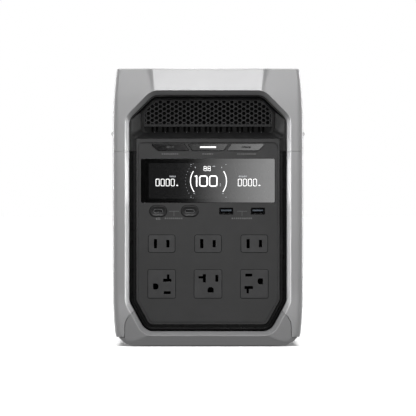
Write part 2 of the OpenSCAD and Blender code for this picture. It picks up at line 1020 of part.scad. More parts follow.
// Accessory socket: a flanged metal cup with two ears for the cap's hinge pin
module car_socket() {
    color("silver")
        at_rear()
            difference() {
                union() {
                    sunk(face_depth - 1.5, face_depth - 0.05)
                        translate([socket_x, inlet_z])
                            circle(r = 15.5, $fn = 96);
                    sunk(face_depth - 0.05, face_depth + 40)
                        translate([socket_x, inlet_z])
                            circle(r = 13, $fn = 96);
                    for (side = [-1, 1])
                        block(
                            [socket_x + side * 7 - 1.5, front(hinge_depth - 2), inlet_z + 13],
                            [socket_x + side * 7 + 1.5, front(face_depth - 0.05), inlet_z + hinge_rise + 2.2]
                        );
                }
                sunk(face_depth - 3, face_depth + 38)
                    translate([socket_x, inlet_z])
                        circle(r = socket_radius, $fn = 96);
                hinge_bore(hinge_radius + 0.01, 30);
            }
    color("goldenrod")
        at_rear()
            sunk(face_depth + 34, face_depth + 38)
                translate([socket_x, inlet_z])
                    circle(r = 3, $fn = 48);
}

// A cylinder along the hinge line of the socket's cap
module hinge_bore(r, length) {
    translate([socket_x - length / 2, front(hinge_depth), inlet_z + hinge_rise])
        rotate([0, 90, 0])
            cylinder(r = r, h = length, $fn = 48);
}

module cap_pin() {
    color("silver")
        at_rear()
            hinge_bore(hinge_radius, 17);
}

// Flip-up cap of the accessory socket, with a short plug, a knuckle and a finger tab
module socket_cap() {
    cap_front = face_depth - 1.5 - 0.2 - cap_thickness;
    color("black")
        at_rear()
            difference() {
                union() {
                    sunk(cap_front, cap_front + cap_thickness)
                        translate([socket_x, inlet_z])
                            circle(r = cap_radius, $fn = 96);
                    sunk(cap_front, cap_front + cap_thickness)
                        polygon(moved(rounded_box(9, 8, 1.5), [socket_x, inlet_z - cap_radius]));
                    sunk(cap_front + cap_thickness - 0.5, face_depth + 1)
                        translate([socket_x, inlet_z])
                            circle(r = socket_radius - 0.5, $fn = 96);
                    hinge_bore(2, 10);
                    block(
                        [socket_x - 5, front(cap_front), inlet_z + 11],
                        [socket_x + 5, front(cap_front + cap_thickness), inlet_z + hinge_rise]
                    );
                }
                hinge_bore(hinge_radius + running_gap, 30);
                sunk(cap_front + cap_thickness, face_depth + 2)
                    translate([socket_x, inlet_z])
                        circle(r = socket_radius - 2, $fn = 96);
            }
}

// Threaded collar and body of the resettable circuit breaker
module breaker() {
    color("black")
        at_rear()
            difference() {
                union() {
                    sunk(face_depth - 2, face_depth - 0.05)
                        translate([inlet_x, breaker_z])
                            circle(r = 9, $fn = 64);
                    sunk(face_depth - 0.05, face_depth + 4)
                        translate([inlet_x, breaker_z])
                            circle(r = 7, $fn = 64);
                    sunk(face_depth + 3.2, face_depth + 28)
                        polygon(moved(box_points(20, 32), [inlet_x, breaker_z]));
                }
                sunk(face_depth - 3, face_depth + 8)
                    translate([inlet_x, breaker_z])
                        circle(r = 4.5 + running_gap, $fn = 64);
            }
}

module reset_button() {
    color("red")
        at_rear()
            sunk(face_depth - 5, face_depth + 5)
                translate([inlet_x, breaker_z])
                    circle(r = 4.5, $fn = 64);
}

// ---------------------------------------------------------------------------
// Inside
// ---------------------------------------------------------------------------

function cell_y(i) = -block_l / 2 + i * (cell_l + cell_gap);

module battery_cells() {
    color("royalblue")
        for (side = [-1, 1], i = [0 : cells_per_row - 1])
            translate([side > 0 ? cell_gap / 2 : -cell_w - cell_gap / 2, cell_y(i), cell_floor])
                cube([cell_w, cell_l, cell_h]);
}

module cell_tray() {
    tray_w = cell_w + cell_gap + 1.2;
    tray_l = block_l / 2 + 4;
    color("black")
        difference() {
            block([-tray_w, -tray_l, floor_top], [tray_w, tray_l, cell_floor + 14]);
            block(
                [-cell_w - cell_gap, -tray_l + 0.6, cell_floor],
                [cell_w + cell_gap, tray_l - 0.6, cell_floor + 20]
            );
        }
}

module cell_end_plates() {
    color("silver")
        for (side = [-1, 1])
            translate([0, side * (block_l / 2 + 1.7), cell_floor + cell_h / 2])
                cube([2 * cell_w, 3, cell_h - 2], center = true);
}

// Copper straps that join neighbouring cells in series
module busbars() {
    color("chocolate")
        for (side = [-1, 1], i = [0 : cells_per_row - 2])
            translate([side * cell_w / 2 + (i % 2 == 0 ? -18 : 18), cell_y(i) + cell_l + cell_gap / 2, cell_top + 1])
                cube([16, cell_l + 14, 1.8], center = true);
}

// Battery management board, hung under the deck
module bms_board() {
    color("green")
        block([-62, -90, bms_z], [62, 90, bms_z + board_thickness]);
    color("dimgray")
        for (i = [0 : 5])
            translate([18 * i - 50, -20, bms_z + board_thickness])
                cube([10, 15, 2.4]);
}

// Deck over the battery on four legs
module chassis() {
    color("silver") {
        block([-leg_x - 5, -leg_y - 5, deck_z], [leg_x + 5, leg_y + 5, deck_z + deck_thickness]);
        for (x = [-leg_x, leg_x], y = [-leg_y, leg_y])
            translate([x, y, 0]) {
                block([-5, -5, skirt_z - gap / 2], [5, 5, deck_z]);
                translate([0, 0, deck_z + deck_thickness])
                    cylinder(r = 4, h = inverter_z - deck_z - deck_thickness, $fn = 32);
            }
        for (x = [-55, 55], y = [-80, 80])
            translate([x, y, bms_z + board_thickness])
                cylinder(r = 3, h = deck_z - bms_z - board_thickness, $fn = 32);
    }
}

module inverter_board() {
    color("green")
        block(
            [-leg_x - 5, -leg_y - 5, inverter_z],
            [leg_x + 5, leg_y + 5, inverter_z + board_thickness]
        );
}

// Finned aluminium heat sink along the middle of the inverter board
module heat_sink() {
    fins = 9;
    color("silver") {
        block([-30, -95, inverter_z + board_thickness], [30, 95, inverter_z + 6.6]);
        for (i = [0 : fins - 1])
            translate([-29 + i * 7, 0, 0])
                block([0, -95, inverter_z + 6.6], [2, 95, inverter_z + 46]);
    }
}

// Transformers and capacitors on the inverter board
module power_parts() {
    board_top = inverter_z + board_thickness;
    color("goldenrod")
        for (x = [-56, 56], y = [-60, 20])
            translate([x, y, board_top])
                block([-19, -21, 0], [19, 21, 36]);
    color("midnightblue")
        for (x = [-68, -48, 48, 68], y = [66, 88])
            translate([x, y, board_top])
                cylinder(r = 9, h = 40, $fn = 48);
}

function fan_place(i) = [i == 0 ? -fan_x : fan_x, half_l - fan_depth, fan_z];

// Plate across the case that carries both fans
module fan_bracket() {
    color("silver")
        translate([0, half_l - fan_depth - fan_thickness - 0.05, fan_z])
            rotate([90, 0, 0])
                linear_extrude(bracket_thickness)
                    difference() {
                        polygon(rounded_box(2 * (half_w - 10), fan_size + 12, 6));
                        for (x = [-fan_x, fan_x])
                            translate([x, 0])
                                circle(r = fan_bore, $fn = 96);
                    }
}

// Square fan frame with a round throat, four struts and an axle
module fan_frame(i) {
    color("black")
        translate(fan_place(i))
            rotate([90, 0, 0]) {
                difference() {
                    translate([0, 0, fan_thickness / 2])
                        cube([fan_size, fan_size, fan_thickness], center = true);
                    translate([0, 0, -1])
                        cylinder(r = fan_bore, h = fan_thickness + 2, $fn = 96);
                }
                difference() {
                    union() {
                        cylinder(r = hub_radius, h = 2, $fn = 64);
                        for (turn = [45, 135])
                            rotate([0, 0, turn])
                                translate([-fan_bore - 0.5, -1.5, 0])
                                    cube([2 * fan_bore + 1, 3, 2]);
                    }
                    translate([0, 0, -1])
                        cylinder(r = axle_radius, h = 4, $fn = 48);
                }
                cylinder(r = axle_radius, h = fan_thickness - 3, $fn = 48);
            }
}

// Hub and pitched blades of a fan
module fan_rotor(i) {
    color("black")
        translate(fan_place(i))
            rotate([90, 0, 0])
                difference() {
                    union() {
                        translate([0, 0, 2.6])
                            cylinder(r = hub_radius - 0.5, h = fan_thickness - 4, $fn = 64);
                        for (k = [0 : blade_count - 1])
                            rotate([0, 0, k * 360 / blade_count])
                                translate([hub_radius - 2, 0, fan_thickness / 2 + 0.6])
                                    rotate([35, 0, 0])
                                        translate([0, -8, -0.7])
                                            cube([fan_bore - hub_radius, 16, 1.4]);
                    }
                    translate([0, 0, 1])
                        cylinder(r = axle_radius + running_gap, h = fan_thickness - 3.4, $fn = 48);
                }
}

upper_shell();
side_shell(-1);  // side_shell_left
side_shell(1);  // side_shell_right
base_tray();
foot_pads();
case_screws();
eyelet(-1);  // eyelet_left
eyelet(1);  // eyelet_right
front_bezel();
front_panel();
front_grip_liner();
front_grille();
front_louvre();
front_filter();
screen_lens();
display_module();
control_board();
button(0);  // button_ac
button(1);  // button_power
button(2);  // button_usb
button_light(0);  // light_ac
button_light(1);  // light_power
button_light(2);  // light_usb
usb_c_port(0);  // usb_c_port_1
usb_c_port(1);  // usb_c_port_2
usb_a_port(0);  // usb_a_port_1
usb_a_port(1);  // usb_a_port_2
outlet_15a(0);  // outlet_15a_1
outlet_15a(1);  // outlet_15a_2
outlet_15a(2);  // outlet_15a_3
outlet_20a(0);  // outlet_20a_1
outlet_20a(1);  // outlet_20a_2
outlet_20a(2);  // outlet_20a_3
rear_bezel();
rear_panel();
rear_grip_liner();
rear_grille();
rear_louvre();
ac_inlet();
dc_inlet();
car_socket();
socket_cap();
cap_pin();
breaker();
reset_button();
battery_cells();
cell_tray();
cell_end_plates();
busbars();
bms_board();
chassis();
inverter_board();
heat_sink();
power_parts();
fan_bracket();
fan_frame(0);  // fan_frame_1
fan_frame(1);  // fan_frame_2
fan_rotor(0);  // fan_rotor_1
fan_rotor(1);  // fan_rotor_2
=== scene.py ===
"""Looks of a portable power station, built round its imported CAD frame.

The front faces -Y. The camera, the lights and the numbers inside materials are in metres
and watts. Shapes are in millimetres, and a depth is measured from the foremost plane of
the case towards its middle.
"""
import math

import bmesh
import bpy
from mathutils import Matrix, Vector


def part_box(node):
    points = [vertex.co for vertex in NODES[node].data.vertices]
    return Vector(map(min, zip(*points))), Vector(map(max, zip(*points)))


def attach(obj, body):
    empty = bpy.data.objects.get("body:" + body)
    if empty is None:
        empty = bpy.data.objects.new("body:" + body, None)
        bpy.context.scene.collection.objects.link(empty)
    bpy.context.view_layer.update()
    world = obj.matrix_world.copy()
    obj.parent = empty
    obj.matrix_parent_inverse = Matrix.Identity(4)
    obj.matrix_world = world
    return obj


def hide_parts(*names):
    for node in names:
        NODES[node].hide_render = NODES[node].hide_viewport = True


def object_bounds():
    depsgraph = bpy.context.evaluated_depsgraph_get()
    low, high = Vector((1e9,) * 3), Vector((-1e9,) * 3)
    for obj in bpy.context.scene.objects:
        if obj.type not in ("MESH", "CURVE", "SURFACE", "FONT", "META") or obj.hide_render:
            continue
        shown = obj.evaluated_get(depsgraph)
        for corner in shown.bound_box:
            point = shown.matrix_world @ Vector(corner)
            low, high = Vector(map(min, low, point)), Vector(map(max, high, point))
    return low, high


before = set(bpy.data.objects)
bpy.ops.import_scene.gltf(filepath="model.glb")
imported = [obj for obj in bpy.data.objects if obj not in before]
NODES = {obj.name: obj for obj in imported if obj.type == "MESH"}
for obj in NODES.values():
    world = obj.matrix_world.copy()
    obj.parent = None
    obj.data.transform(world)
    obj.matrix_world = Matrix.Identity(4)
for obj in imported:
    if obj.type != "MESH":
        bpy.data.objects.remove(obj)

cad_box = [list(corner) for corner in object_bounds()]

MM = 0.001


def box_mm(node):
    """Lowest and highest corner of a CAD node, in millimetres."""
    return [[value / MM for value in corner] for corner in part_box(node)]


# ---------------------------------------------------------------------------
# Camera, lights and world, in metres and watts
# ---------------------------------------------------------------------------

SENSOR = 36.0
PICTURE_WIDTH = 0.4243
CAMERA_DISTANCE = 2.8
CAMERA_HEIGHT = 0.1415
CAMERA_REACH = 100


def aim(obj, target):
    obj.rotation_euler = (Vector(target) - obj.location).to_track_quat("-Z", "Y").to_euler()


camera_data = bpy.data.cameras.new("camera")
camera_data.sensor_width = SENSOR
camera_data.lens = SENSOR * CAMERA_DISTANCE / PICTURE_WIDTH
camera_data.clip_end = CAMERA_REACH
camera = bpy.data.objects.new("camera", camera_data)
bpy.context.scene.collection.objects.link(camera)
camera.location = (0, cad_box[0][1] - CAMERA_DISTANCE, CAMERA_HEIGHT)
aim(camera, (0, 0, CAMERA_HEIGHT))
bpy.context.scene.camera = camera
bpy.context.scene.view_settings.view_transform = "Standard"


def area_light(name, place, target, width, height, power):
    data = bpy.data.lights.new(name, "AREA")
    data.shape = "RECTANGLE"
    data.size = width
    data.size_y = height
    data.energy = power
    light = bpy.data.objects.new(name, data)
    bpy.context.scene.collection.objects.link(light)
    light.location = place
    aim(light, target)


area_light("front_softbox", (0.0, -4.6, 0.86), (0, 0, 0.2), 2.0, 0.5, 21)
area_light("high_softbox", (0, -0.8, 0.88), (0, -0.1, 0.15), 0.9, 0.5, 3.2)
area_light("left_softbox", (-1.6, -0.38, 0.3), (0, -0.2, 0.15), 0.36, 1.2, 12)
area_light("right_softbox", (1.6, -0.38, 0.3), (0, -0.2, 0.15), 0.36, 1.2, 12)
area_light("overhead_softbox", (0, -0.75, 1.5), (0, -0.15, 0), 0.9, 0.4, 13)
area_light("top_softbox", (0, 0.3, 1.9), (0, 0, 0), 1.8, 1.8, 8)

area_light("rear_softbox", (0, 2.6, 0.42), (0, 0.2, 0.14), 1.8, 0.5, 20)
area_light("rear_left_softbox", (-1.9, 1.5, 0.7), (0, 0.1, 0.14), 1.1, 1.0, 14)
area_light("rear_right_softbox", (1.9, 1.5, 0.7), (0, 0.1, 0.14), 1.1, 1.0, 14)

# Strips that grow brighter to the right, mirrored by the screen and the buttons
STRIP_HEIGHT = 0.42
STRIP_Y, STRIP_Z, STRIP_AIM_Z = -4.5, 0.21, 0.17
RAMP_START, RAMP_WIDTH, RAMP_STEPS = -0.03, 0.18, 6
MAIN_STRIP_WIDTH = 0.36
POWER_PER_METRE = 9.0


def strip_light(name, x, width, power):
    area_light(name, (x, STRIP_Y, STRIP_Z), (x, 0, STRIP_AIM_Z), width, STRIP_HEIGHT, power)


for step in range(RAMP_STEPS):
    width = RAMP_WIDTH / RAMP_STEPS
    strip_light(f"ramp_strip_{step}", RAMP_START + width * (step + 0.5), width,
                POWER_PER_METRE * width * (step + 1) / (RAMP_STEPS + 1))
strip_light("main_strip", RAMP_START + RAMP_WIDTH + MAIN_STRIP_WIDTH / 2, MAIN_STRIP_WIDTH,
            POWER_PER_METRE * MAIN_STRIP_WIDTH)

# The camera sees a white world. As a light it is dim, and stronger from below, where it
# stands in for what a pale floor would send back. The levels go with the height of a
# direction, from -1 straight down to 1 straight up.
FILL_BELOW, FILL_BELOW_HEIGHT = 0.4, -0.8
FILL_ABOVE, FILL_ABOVE_HEIGHT = 0.04, -0.05
WORLD_TO_CAMERA = 1.0
world = bpy.data.worlds.new("studio")
world.use_nodes = True
bpy.context.scene.world = world
world_nodes = world.node_tree.nodes
background = world_nodes["Background"]
background.inputs["Color"].default_value = (1, 1, 1, 1)
rays = world_nodes.new("ShaderNodeLightPath")
direction = world_nodes.new("ShaderNodeTexCoord")
upward = world_nodes.new("ShaderNodeSeparateXYZ")
fill = world_nodes.new("ShaderNodeMapRange")
fill.inputs["From Min"].default_value = FILL_BELOW_HEIGHT
fill.inputs["From Max"].default_value = FILL_ABOVE_HEIGHT
fill.inputs["To Min"].default_value = FILL_BELOW
fill.inputs["To Max"].default_value = FILL_ABOVE
strength = world_nodes.new("ShaderNodeMapRange")
strength.inputs["To Max"].default_value = WORLD_TO_CAMERA
for source, target in (
        (direction.outputs["Generated"], upward.inputs["Vector"]),
        (upward.outputs["Z"], fill.inputs["Value"]),
        (fill.outputs["Result"], strength.inputs["To Min"]),
        (rays.outputs["Is Camera Ray"], strength.inputs["Value"]),
        (strength.outputs["Result"], background.inputs["Strength"])):
    world.node_tree.links.new(source, target)

# ---------------------------------------------------------------------------
# Materials
# ---------------------------------------------------------------------------

# Cosine between the flat and the rounded normal, from a full edge to none
EDGE_COSINES = (0.86, 0.995)
EDGE_RADIUS = 0.0006
# A worn edge is the colour times the gain, plus the lift
WORN_GAIN, WORN_LIFT = 1.5, 0.02
# The least wear, as a part of the most
LEAST_WEAR = 0.3
# The gloss varies in spots this much finer than those of the colour
GLOSS_FINENESS = 3.1


class Shader:
    """A Principled material with helpers that add nodes to it."""

    def __init__(self, name):
        self.material = bpy.data.materials.new(name)
        self.material.use_nodes = True
        self.nodes = self.material.node_tree.nodes
        self.links = self.material.node_tree.links
        self.principled = self.nodes["Principled BSDF"]
        self.place = self.nodes.new("ShaderNodeTexCoord").outputs["Object"]

    def link(self, source, target):
        self.links.new(source, target)

    def noise(self, scale, detail=3.0, roughness=0.55, stretch=None):
        node = self.nodes.new("ShaderNodeTexNoise")
        node.inputs["Scale"].default_value = scale
        node.inputs["Detail"].default_value = detail
        node.inputs["Roughness"].default_value = roughness
        place = self.place
        if stretch:
            mapping = self.nodes.new("ShaderNodeMapping")
            mapping.inputs["Scale"].default_value = stretch
            self.link(place, mapping.inputs["Vector"])
            place = mapping.outputs["Vector"]
        self.link(place, node.inputs["Vector"])
        return node.outputs["Fac"]

    def spread(self, value, low, high, start=0.3, end=0.7):
        node = self.nodes.new("ShaderNodeMapRange")
        node.inputs["From Min"].default_value = start
        node.inputs["From Max"].default_value = end
        node.inputs["To Min"].default_value = low
        node.inputs["To Max"].default_value = high
        self.link(value, node.inputs["Value"])
        return node.outputs["Result"]

    def mix(self, factor, first, second):
        node = self.nodes.new("ShaderNodeMix")
        node.data_type = "RGBA"
        self.link(factor, node.inputs["Factor"])
        for socket, colour in ((node.inputs[6], first), (node.inputs[7], second)):
            if isinstance(colour, tuple):
                socket.default_value = (*colour, 1)
            else:
                self.link(colour, socket)
        return node.outputs[2]

    def edges(self):
        """1 on edges and 0 on flat places, from how far a rounded normal turns."""
        bevel = self.nodes.new("ShaderNodeBevel")
        bevel.samples = 6
        bevel.inputs["Radius"].default_value = EDGE_RADIUS
        geometry = self.nodes.new("ShaderNodeNewGeometry")
        dot = self.nodes.new("ShaderNodeVectorMath")
        dot.operation = "DOT_PRODUCT"
        self.link(bevel.outputs["Normal"], dot.inputs[0])
        self.link(geometry.outputs["Normal"], dot.inputs[1])
        return self.spread(dot.outputs["Value"], 1.0, 0.0, *EDGE_COSINES)

    def bump(self, height, distance):
        node = self.nodes.new("ShaderNodeBump")
        node.inputs["Distance"].default_value = distance
        node.inputs["Strength"].default_value = 1.0
        self.link(height, node.inputs["Height"])
        return node.outputs["Normal"]


MATERIALS = {}


def finish(slot, colour, roughness, metallic=0.0, grain=900, grain_depth=0.02, spots=40,
           variation=0.12, rough_spread=0.08, wear=0.0, specular=0.5, stretch=None):
    """A moulded, painted or metal finish: mottled colour and gloss, fine grain, paler edges.

    grain and spots are noise scales, and grain_depth is in millimetres.
    """
    shader = Shader(slot)
    socket = shader.principled.inputs
    dark = tuple(c * (1 - variation) for c in colour)
    light = tuple(min(c * (1 + variation), 1) for c in colour)
    mottle = shader.noise(spots, 4.0, 0.6, stretch)
    shade = shader.mix(shader.spread(mottle, 0, 1), dark, light)
    gloss = shader.spread(shader.noise(spots * GLOSS_FINENESS, 5.0, 0.6, stretch),
                          roughness - rough_spread, roughness + rough_spread)
    if wear:
        worn = tuple(min(c * WORN_GAIN + WORN_LIFT, 1) for c in colour)
        amount = shader.nodes.new("ShaderNodeMath")
        amount.operation = "MULTIPLY"
        shader.link(shader.edges(), amount.inputs[0])
        shader.link(shader.spread(mottle, wear * LEAST_WEAR, wear), amount.inputs[1])
        shade = shader.mix(amount.outputs[0], shade, worn)
    shader.link(shade, socket["Base Color"])
    shader.link(gloss, socket["Roughness"])
    socket["Metallic"].default_value = metallic
    socket["Specular IOR Level"].default_value = specular
    shader.link(shader.bump(shader.noise(grain, 2.0, 0.5, stretch), grain_depth * MM),
                socket["Normal"])
    MATERIALS[slot] = shader.material
    return shader


finish("shell", (0.52, 0.52, 0.525), 0.32, 0.45, grain=2600, grain_depth=0.012, spots=26,
       variation=0.015, rough_spread=0.012, wear=0.3)
# The base's shell is the case's silver painted darker: painted shade for its downward faces
finish("shaded_base_shell", (0.37, 0.37, 0.375), 0.34, 0.45, grain=2600, grain_depth=0.012, spots=26,
       variation=0.015, rough_spread=0.012, wear=0.3)
finish("foot_rubber", (0.02, 0.02, 0.02), 0.8, grain=1500, grain_depth=0.05, wear=0.3)
finish("screw_steel", (0.42, 0.42, 0.43), 0.32, 0.95, grain=1800, spots=120, wear=0.4)
finish("stud", (0.16, 0.16, 0.162), 0.35, 0.4, grain=1800, spots=300, wear=0.3)
finish("bezel", (0.004, 0.004, 0.0042), 0.3, grain=2200, grain_depth=0.008, wear=0.15,
       specular=0.12)
finish("panel", (0.04, 0.04, 0.0405), 0.5, grain=2400, grain_depth=0.03, spots=30,
       variation=0.06, rough_spread=0.04, wear=0.35)
finish("liner", (0.006, 0.006, 0.0062), 0.42, grain=2000, grain_depth=0.02, wear=0.25,
       specular=0.35)
finish("grille", (0.03, 0.03, 0.031), 0.42, 0.3, grain=1500, spots=90, wear=0.5)
finish("louvre", (0.004, 0.004, 0.0042), 0.5, grain=2000, grain_depth=0.02, wear=0.6,
       specular=0.2)
finish("filter_foam", (0.004, 0.004, 0.004), 0.9, grain=700, grain_depth=0.3, spots=400,
       variation=0.5, specular=0.1)
finish("lens", (0.001, 0.001, 0.0011), 0.055, grain=300, grain_depth=0.0005, spots=60,
       variation=0.2, rough_spread=0.01)
finish("display_area", (0.012, 0.012, 0.0125), 0.06, grain=2000, grain_depth=0.0005, spots=300,
       variation=0.2, rough_spread=0.01)
finish("module", (0.03, 0.03, 0.032), 0.5, wear=0.2)
finish("circuit_board", (0.015, 0.09, 0.04), 0.4, spots=160, variation=0.3)
finish("button", (0.004, 0.004, 0.0043), 0.1, grain=1200, grain_depth=0.001, spots=80,
       rough_spread=0.015, wear=0.3)
outlet_finish = finish("outlet", (0.043, 0.043, 0.044), 0.42, grain=2200, grain_depth=0.02,
                       spots=60, variation=0.07, wear=0.5)
finish("port_surround", (0.016, 0.016, 0.0165), 0.45, grain=2200, grain_depth=0.012, wear=0.4)
finish("port_steel", (0.30, 0.30, 0.31), 0.3, 0.9, grain=1400, spots=200, wear=0.3)
nickel_finish = finish("port_nickel", (0.2, 0.2, 0.205), 0.55, 0.3, grain=1400, spots=200,
                       wear=0.2)
finish("port_tongue", (0.075, 0.095, 0.12), 0.4, grain=1800, spots=220)
finish("port_black", (0.004, 0.004, 0.004), 0.5, grain=1800, specular=0.15)
finish("inlet", (0.012, 0.012, 0.012), 0.36, grain=1800, wear=0.4)
finish("cap_rubber", (0.018, 0.018, 0.018), 0.72, grain=1500, grain_depth=0.05, wear=0.3)
finish("reset", (0.42, 0.015, 0.012), 0.34, grain=1600, wear=0.3)
finish("cell_wrap", (0.03, 0.08, 0.25), 0.35, spots=90, wear=0.2)
finish("inner_plastic", (0.03, 0.03, 0.03), 0.6, grain=1500, grain_depth=0.04, wear=0.2)
finish("bare_aluminium", (0.55, 0.56, 0.57), 0.34, 0.95, spots=70, stretch=(1, 12, 1), wear=0.3)
finish("copper", (0.62, 0.28, 0.14), 0.3, 0.95, spots=120, variation=0.2)
finish("component_wrap", (0.30, 0.17, 0.02), 0.45, spots=110, variation=0.2)
finish("print_grey", (0.15, 0.15, 0.15), 0.6, grain=3000, spots=900, variation=0.2)


def glowing(slot, colour, strength):
    """A lit mark behind a clear skin, a little uneven as real back-lighting is."""
    shader = Shader(slot)
    socket = shader.principled.inputs
    shade = shader.mix(shader.spread(shader.noise(420, 2.0), 0, 1),
                       tuple(0.86 * c for c in colour), colour)
    shader.link(shade, socket["Base Color"])
    shader.link(shade, socket["Emission Color"])
    socket["Emission Strength"].default_value = strength
    shader.link(shader.spread(shader.noise(700), 0.2, 0.35), socket["Roughness"])
    MATERIALS[slot] = shader.material


glowing("light_on", (1.0, 1.0, 1.0), 0.75)
glowing("display_lit", (1.0, 1.0, 1.0), 0.9)
glowing("display_dim", (0.35, 0.36, 0.38), 0.5)
finish("light_off", (0.012, 0.012, 0.0125), 0.3, grain=1500)

# ---------------------------------------------------------------------------
# Outlines, the same as those of the CAD model
# ---------------------------------------------------------------------------


def unit(v):
    length = math.hypot(*v)
    return (v[0] / length, v[1] / length)


def inset(points, d):
    """A counter-clockwise outline moved inwards by d, or outwards where d is negative."""
    moved = []
    for i, p in enumerate(points):
        q, r = points[i - 1], points[(i + 1) % len(points)]
        a, b = unit((p[0] - q[0], p[1] - q[1])), unit((r[0] - p[0], r[1] - p[1]))
        scale = d / (1 + a[0] * b[0] + a[1] * b[1])
        moved.append((p[0] - scale * (a[1] + b[1]), p[1] + scale * (a[0] + b[0])))
    return moved


def rounded(points, radii, steps):
    """The outline with each corner replaced by an arc; radii is one number or one for each."""
    result = []
    for i, p in enumerate(points):
        r = radii[i] if isinstance(radii, (list, tuple)) else radii
        q, n = points[i - 1], points[(i + 1) % len(points)]
        a, b = unit((p[0] - q[0], p[1] - q[1])), unit((n[0] - p[0], n[1] - p[1]))
        turn = math.atan2(a[0] * b[1] - a[1] * b[0], a[0] * b[0] + a[1] * b[1])
        reach = r * math.tan(abs(turn) / 2)
        side = math.copysign(1, turn)
        start = (p[0] - a[0] * reach, p[1] - a[1] * reach)
        centre = (start[0] - a[1] * r * side, start[1] + a[0] * r * side)
        spoke = (start[0] - centre[0], start[1] - centre[1])
        for k in range(steps + 1):
            t = turn * k / steps
            result.append((centre[0] + spoke[0] * math.cos(t) - spoke[1] * math.sin(t),
                           centre[1] + spoke[0] * math.sin(t) + spoke[1] * math.cos(t)))
    return result


def rounded_box(w, h, r, centre, steps=8):
    corners = [(-w / 2, -h / 2), (w / 2, -h / 2), (w / 2, h / 2), (-w / 2, h / 2)]
    return [(x + centre[0], z + centre[1]) for x, z in rounded(corners, r, steps)]


CASE_LOW, CASE_HIGH = box_mm("upper_shell")
HALF_L = 199.0
HALF_W = 97.4
TOP = CASE_HIGH[2]
SEAM_Z = CASE_LOW[2] - 0.15
SKIRT_Z = 9.4
BASE_BOTTOM = 1.0
SHOULDER_Z, HIP_Z = 223.0, 58.0
TOP_DRAFT, HIP_DRAFT = 4.1, 4.6
SKIRT_HALF_W, FOOT_HALF_W = HALF_W - 6.1, 74.0
GAP = 0.3
BEVEL_WIDTH, BEVEL_DEPTH = 4.2, 9.0
COLLAR_WIDTH, COLLAR_DEPTH = 2.2, 15.0
# Depth of the front and rear panels' faces
FACE_DEPTH = 9.5
OPENING = [(-66.6, 11.1), (66.6, 11.1), (84.7, 44.6), (84.7, 234.6),
           (57.8, 261.5), (-57.8, 261.5), (-84.7, 234.6), (-84.7, 44.6)]
OPENING_RADIUS = 18.0
# Thickness of the case's wall
SKIN = 2.4
# Keeps the blended facets inside the CAD case
FACE_CLEARANCE = 0.03
# Gap between the flared front of the base and the side shells
FLARE_GAP = 0.5
# How far the cutting outlines stand out past the case
CUTTER_REACH = 5

# Rounded edge of the case: its reach across the face at the top, what it gains down to a
# height, and how flat its arc is. Then the radii of the small edges at side, top and bottom.
EDGE_REACH, EDGE_REACH_GAIN, EDGE_REACH_Z, EDGE_FLATNESS = 3.2, 2.3, 225, 1.85
SIDE_EDGE, TOP_EDGE, BOTTOM_EDGE, LEAST_EDGE = 0.6, 0.9, 1.2, 0.4


def opening(d, steps=14):
    return rounded(inset(OPENING, d), OPENING_RADIUS - d, steps)


def shell_half_w(z):
    if z > SHOULDER_Z:
        return HALF_W - TOP_DRAFT * ((z - SHOULDER_Z) / (TOP - SHOULDER_Z)) ** 2
    if z < SKIRT_Z:
        return FOOT_HALF_W + (SKIRT_HALF_W - FOOT_HALF_W) * math.sqrt(max(z, 0) / SKIRT_Z)
    if z < HIP_Z:
        down = (HIP_Z - z) / (HIP_Z - SKIRT_Z)
        return HALF_W - HIP_DRAFT * (1 - math.sqrt(max(1 - down ** 2, 0)))
    return HALF_W


def silhouette(d):
    """Outline of the case seen from the front, d inside its surface."""
    heights = [BASE_BOTTOM + d, 3.5 + d / 2, 6.0, 8.0, SKIRT_Z - 0.01]
    heights += [SKIRT_Z + (HIP_Z - SKIRT_Z) * (1 - math.cos(math.pi / 2 * k / 14))
                for k in range(15)]
    heights += [90, 140, 190, SHOULDER_Z]
    heights += [SHOULDER_Z + (TOP - 2 - d - SHOULDER_Z) * k / 8 for k in range(1, 9)]
    right = [(shell_half_w(z) - d, z) for z in heights]
    right += [(shell_half_w(TOP) - 0.6 - d, TOP - 0.6 - d), (shell_half_w(TOP) - 2 - d, TOP - d)]
    return right + [(-x, z) for x, z in reversed(right)]


def ramp(u, w):
    """0 below zero and u above it, blended over 2 w."""
    if u <= -w:
        return 0.0
    return u if u >= w else (u + w) ** 2 / (4 * w)


def larger(a, b, w):
    """The larger of two values, blended over 2 w."""
    return b + ramp(a - b, w)


def smaller(a, b, w):
    """The smaller of two values, blended over 2 w."""
    return a - ramp(a - b, w)


def smooth_step(value, start, end):
    t = min(max((value - start) / (end - start), 0), 1)
    return t * t * (3 - 2 * t)


def face_depth(x, z):
    """Depth of the faceted front face at a point, before its edges are rounded.

    Each facet is a plane. The sides lean back outside a fold that moves out near the foot,
    the upper corners are cut by a wedge, and the top and the foot are tucked back.
    """
    ax = abs(x)
    lean = 0.055 * ramp(z - 258, 1.0)
    fold = 55 + 7 * smooth_step(z, 60, 25)
    corner = 0.22 + 0.13 * (ax - fold) + 0.075 * ramp(z - 262, 12)
    wedge = 0.22 + 0.258 * (ax - 55) + 0.0315 * (z - 262)
    side = smaller(corner, wedge, 0.22) if z > 200 else corner
    tuck = larger(0.26 * (12 - z), 1.61 + 0.62 * (5.8 - z), 0.1)
    return larger(larger(side, lean, 0.25), tuck, 0.12) + FACE_CLEARANCE


def arc_drop(radius, run):
    """How far an arc has dropped at a distance from where it is level."""
    return radius - math.sqrt(radius * radius - run * run)


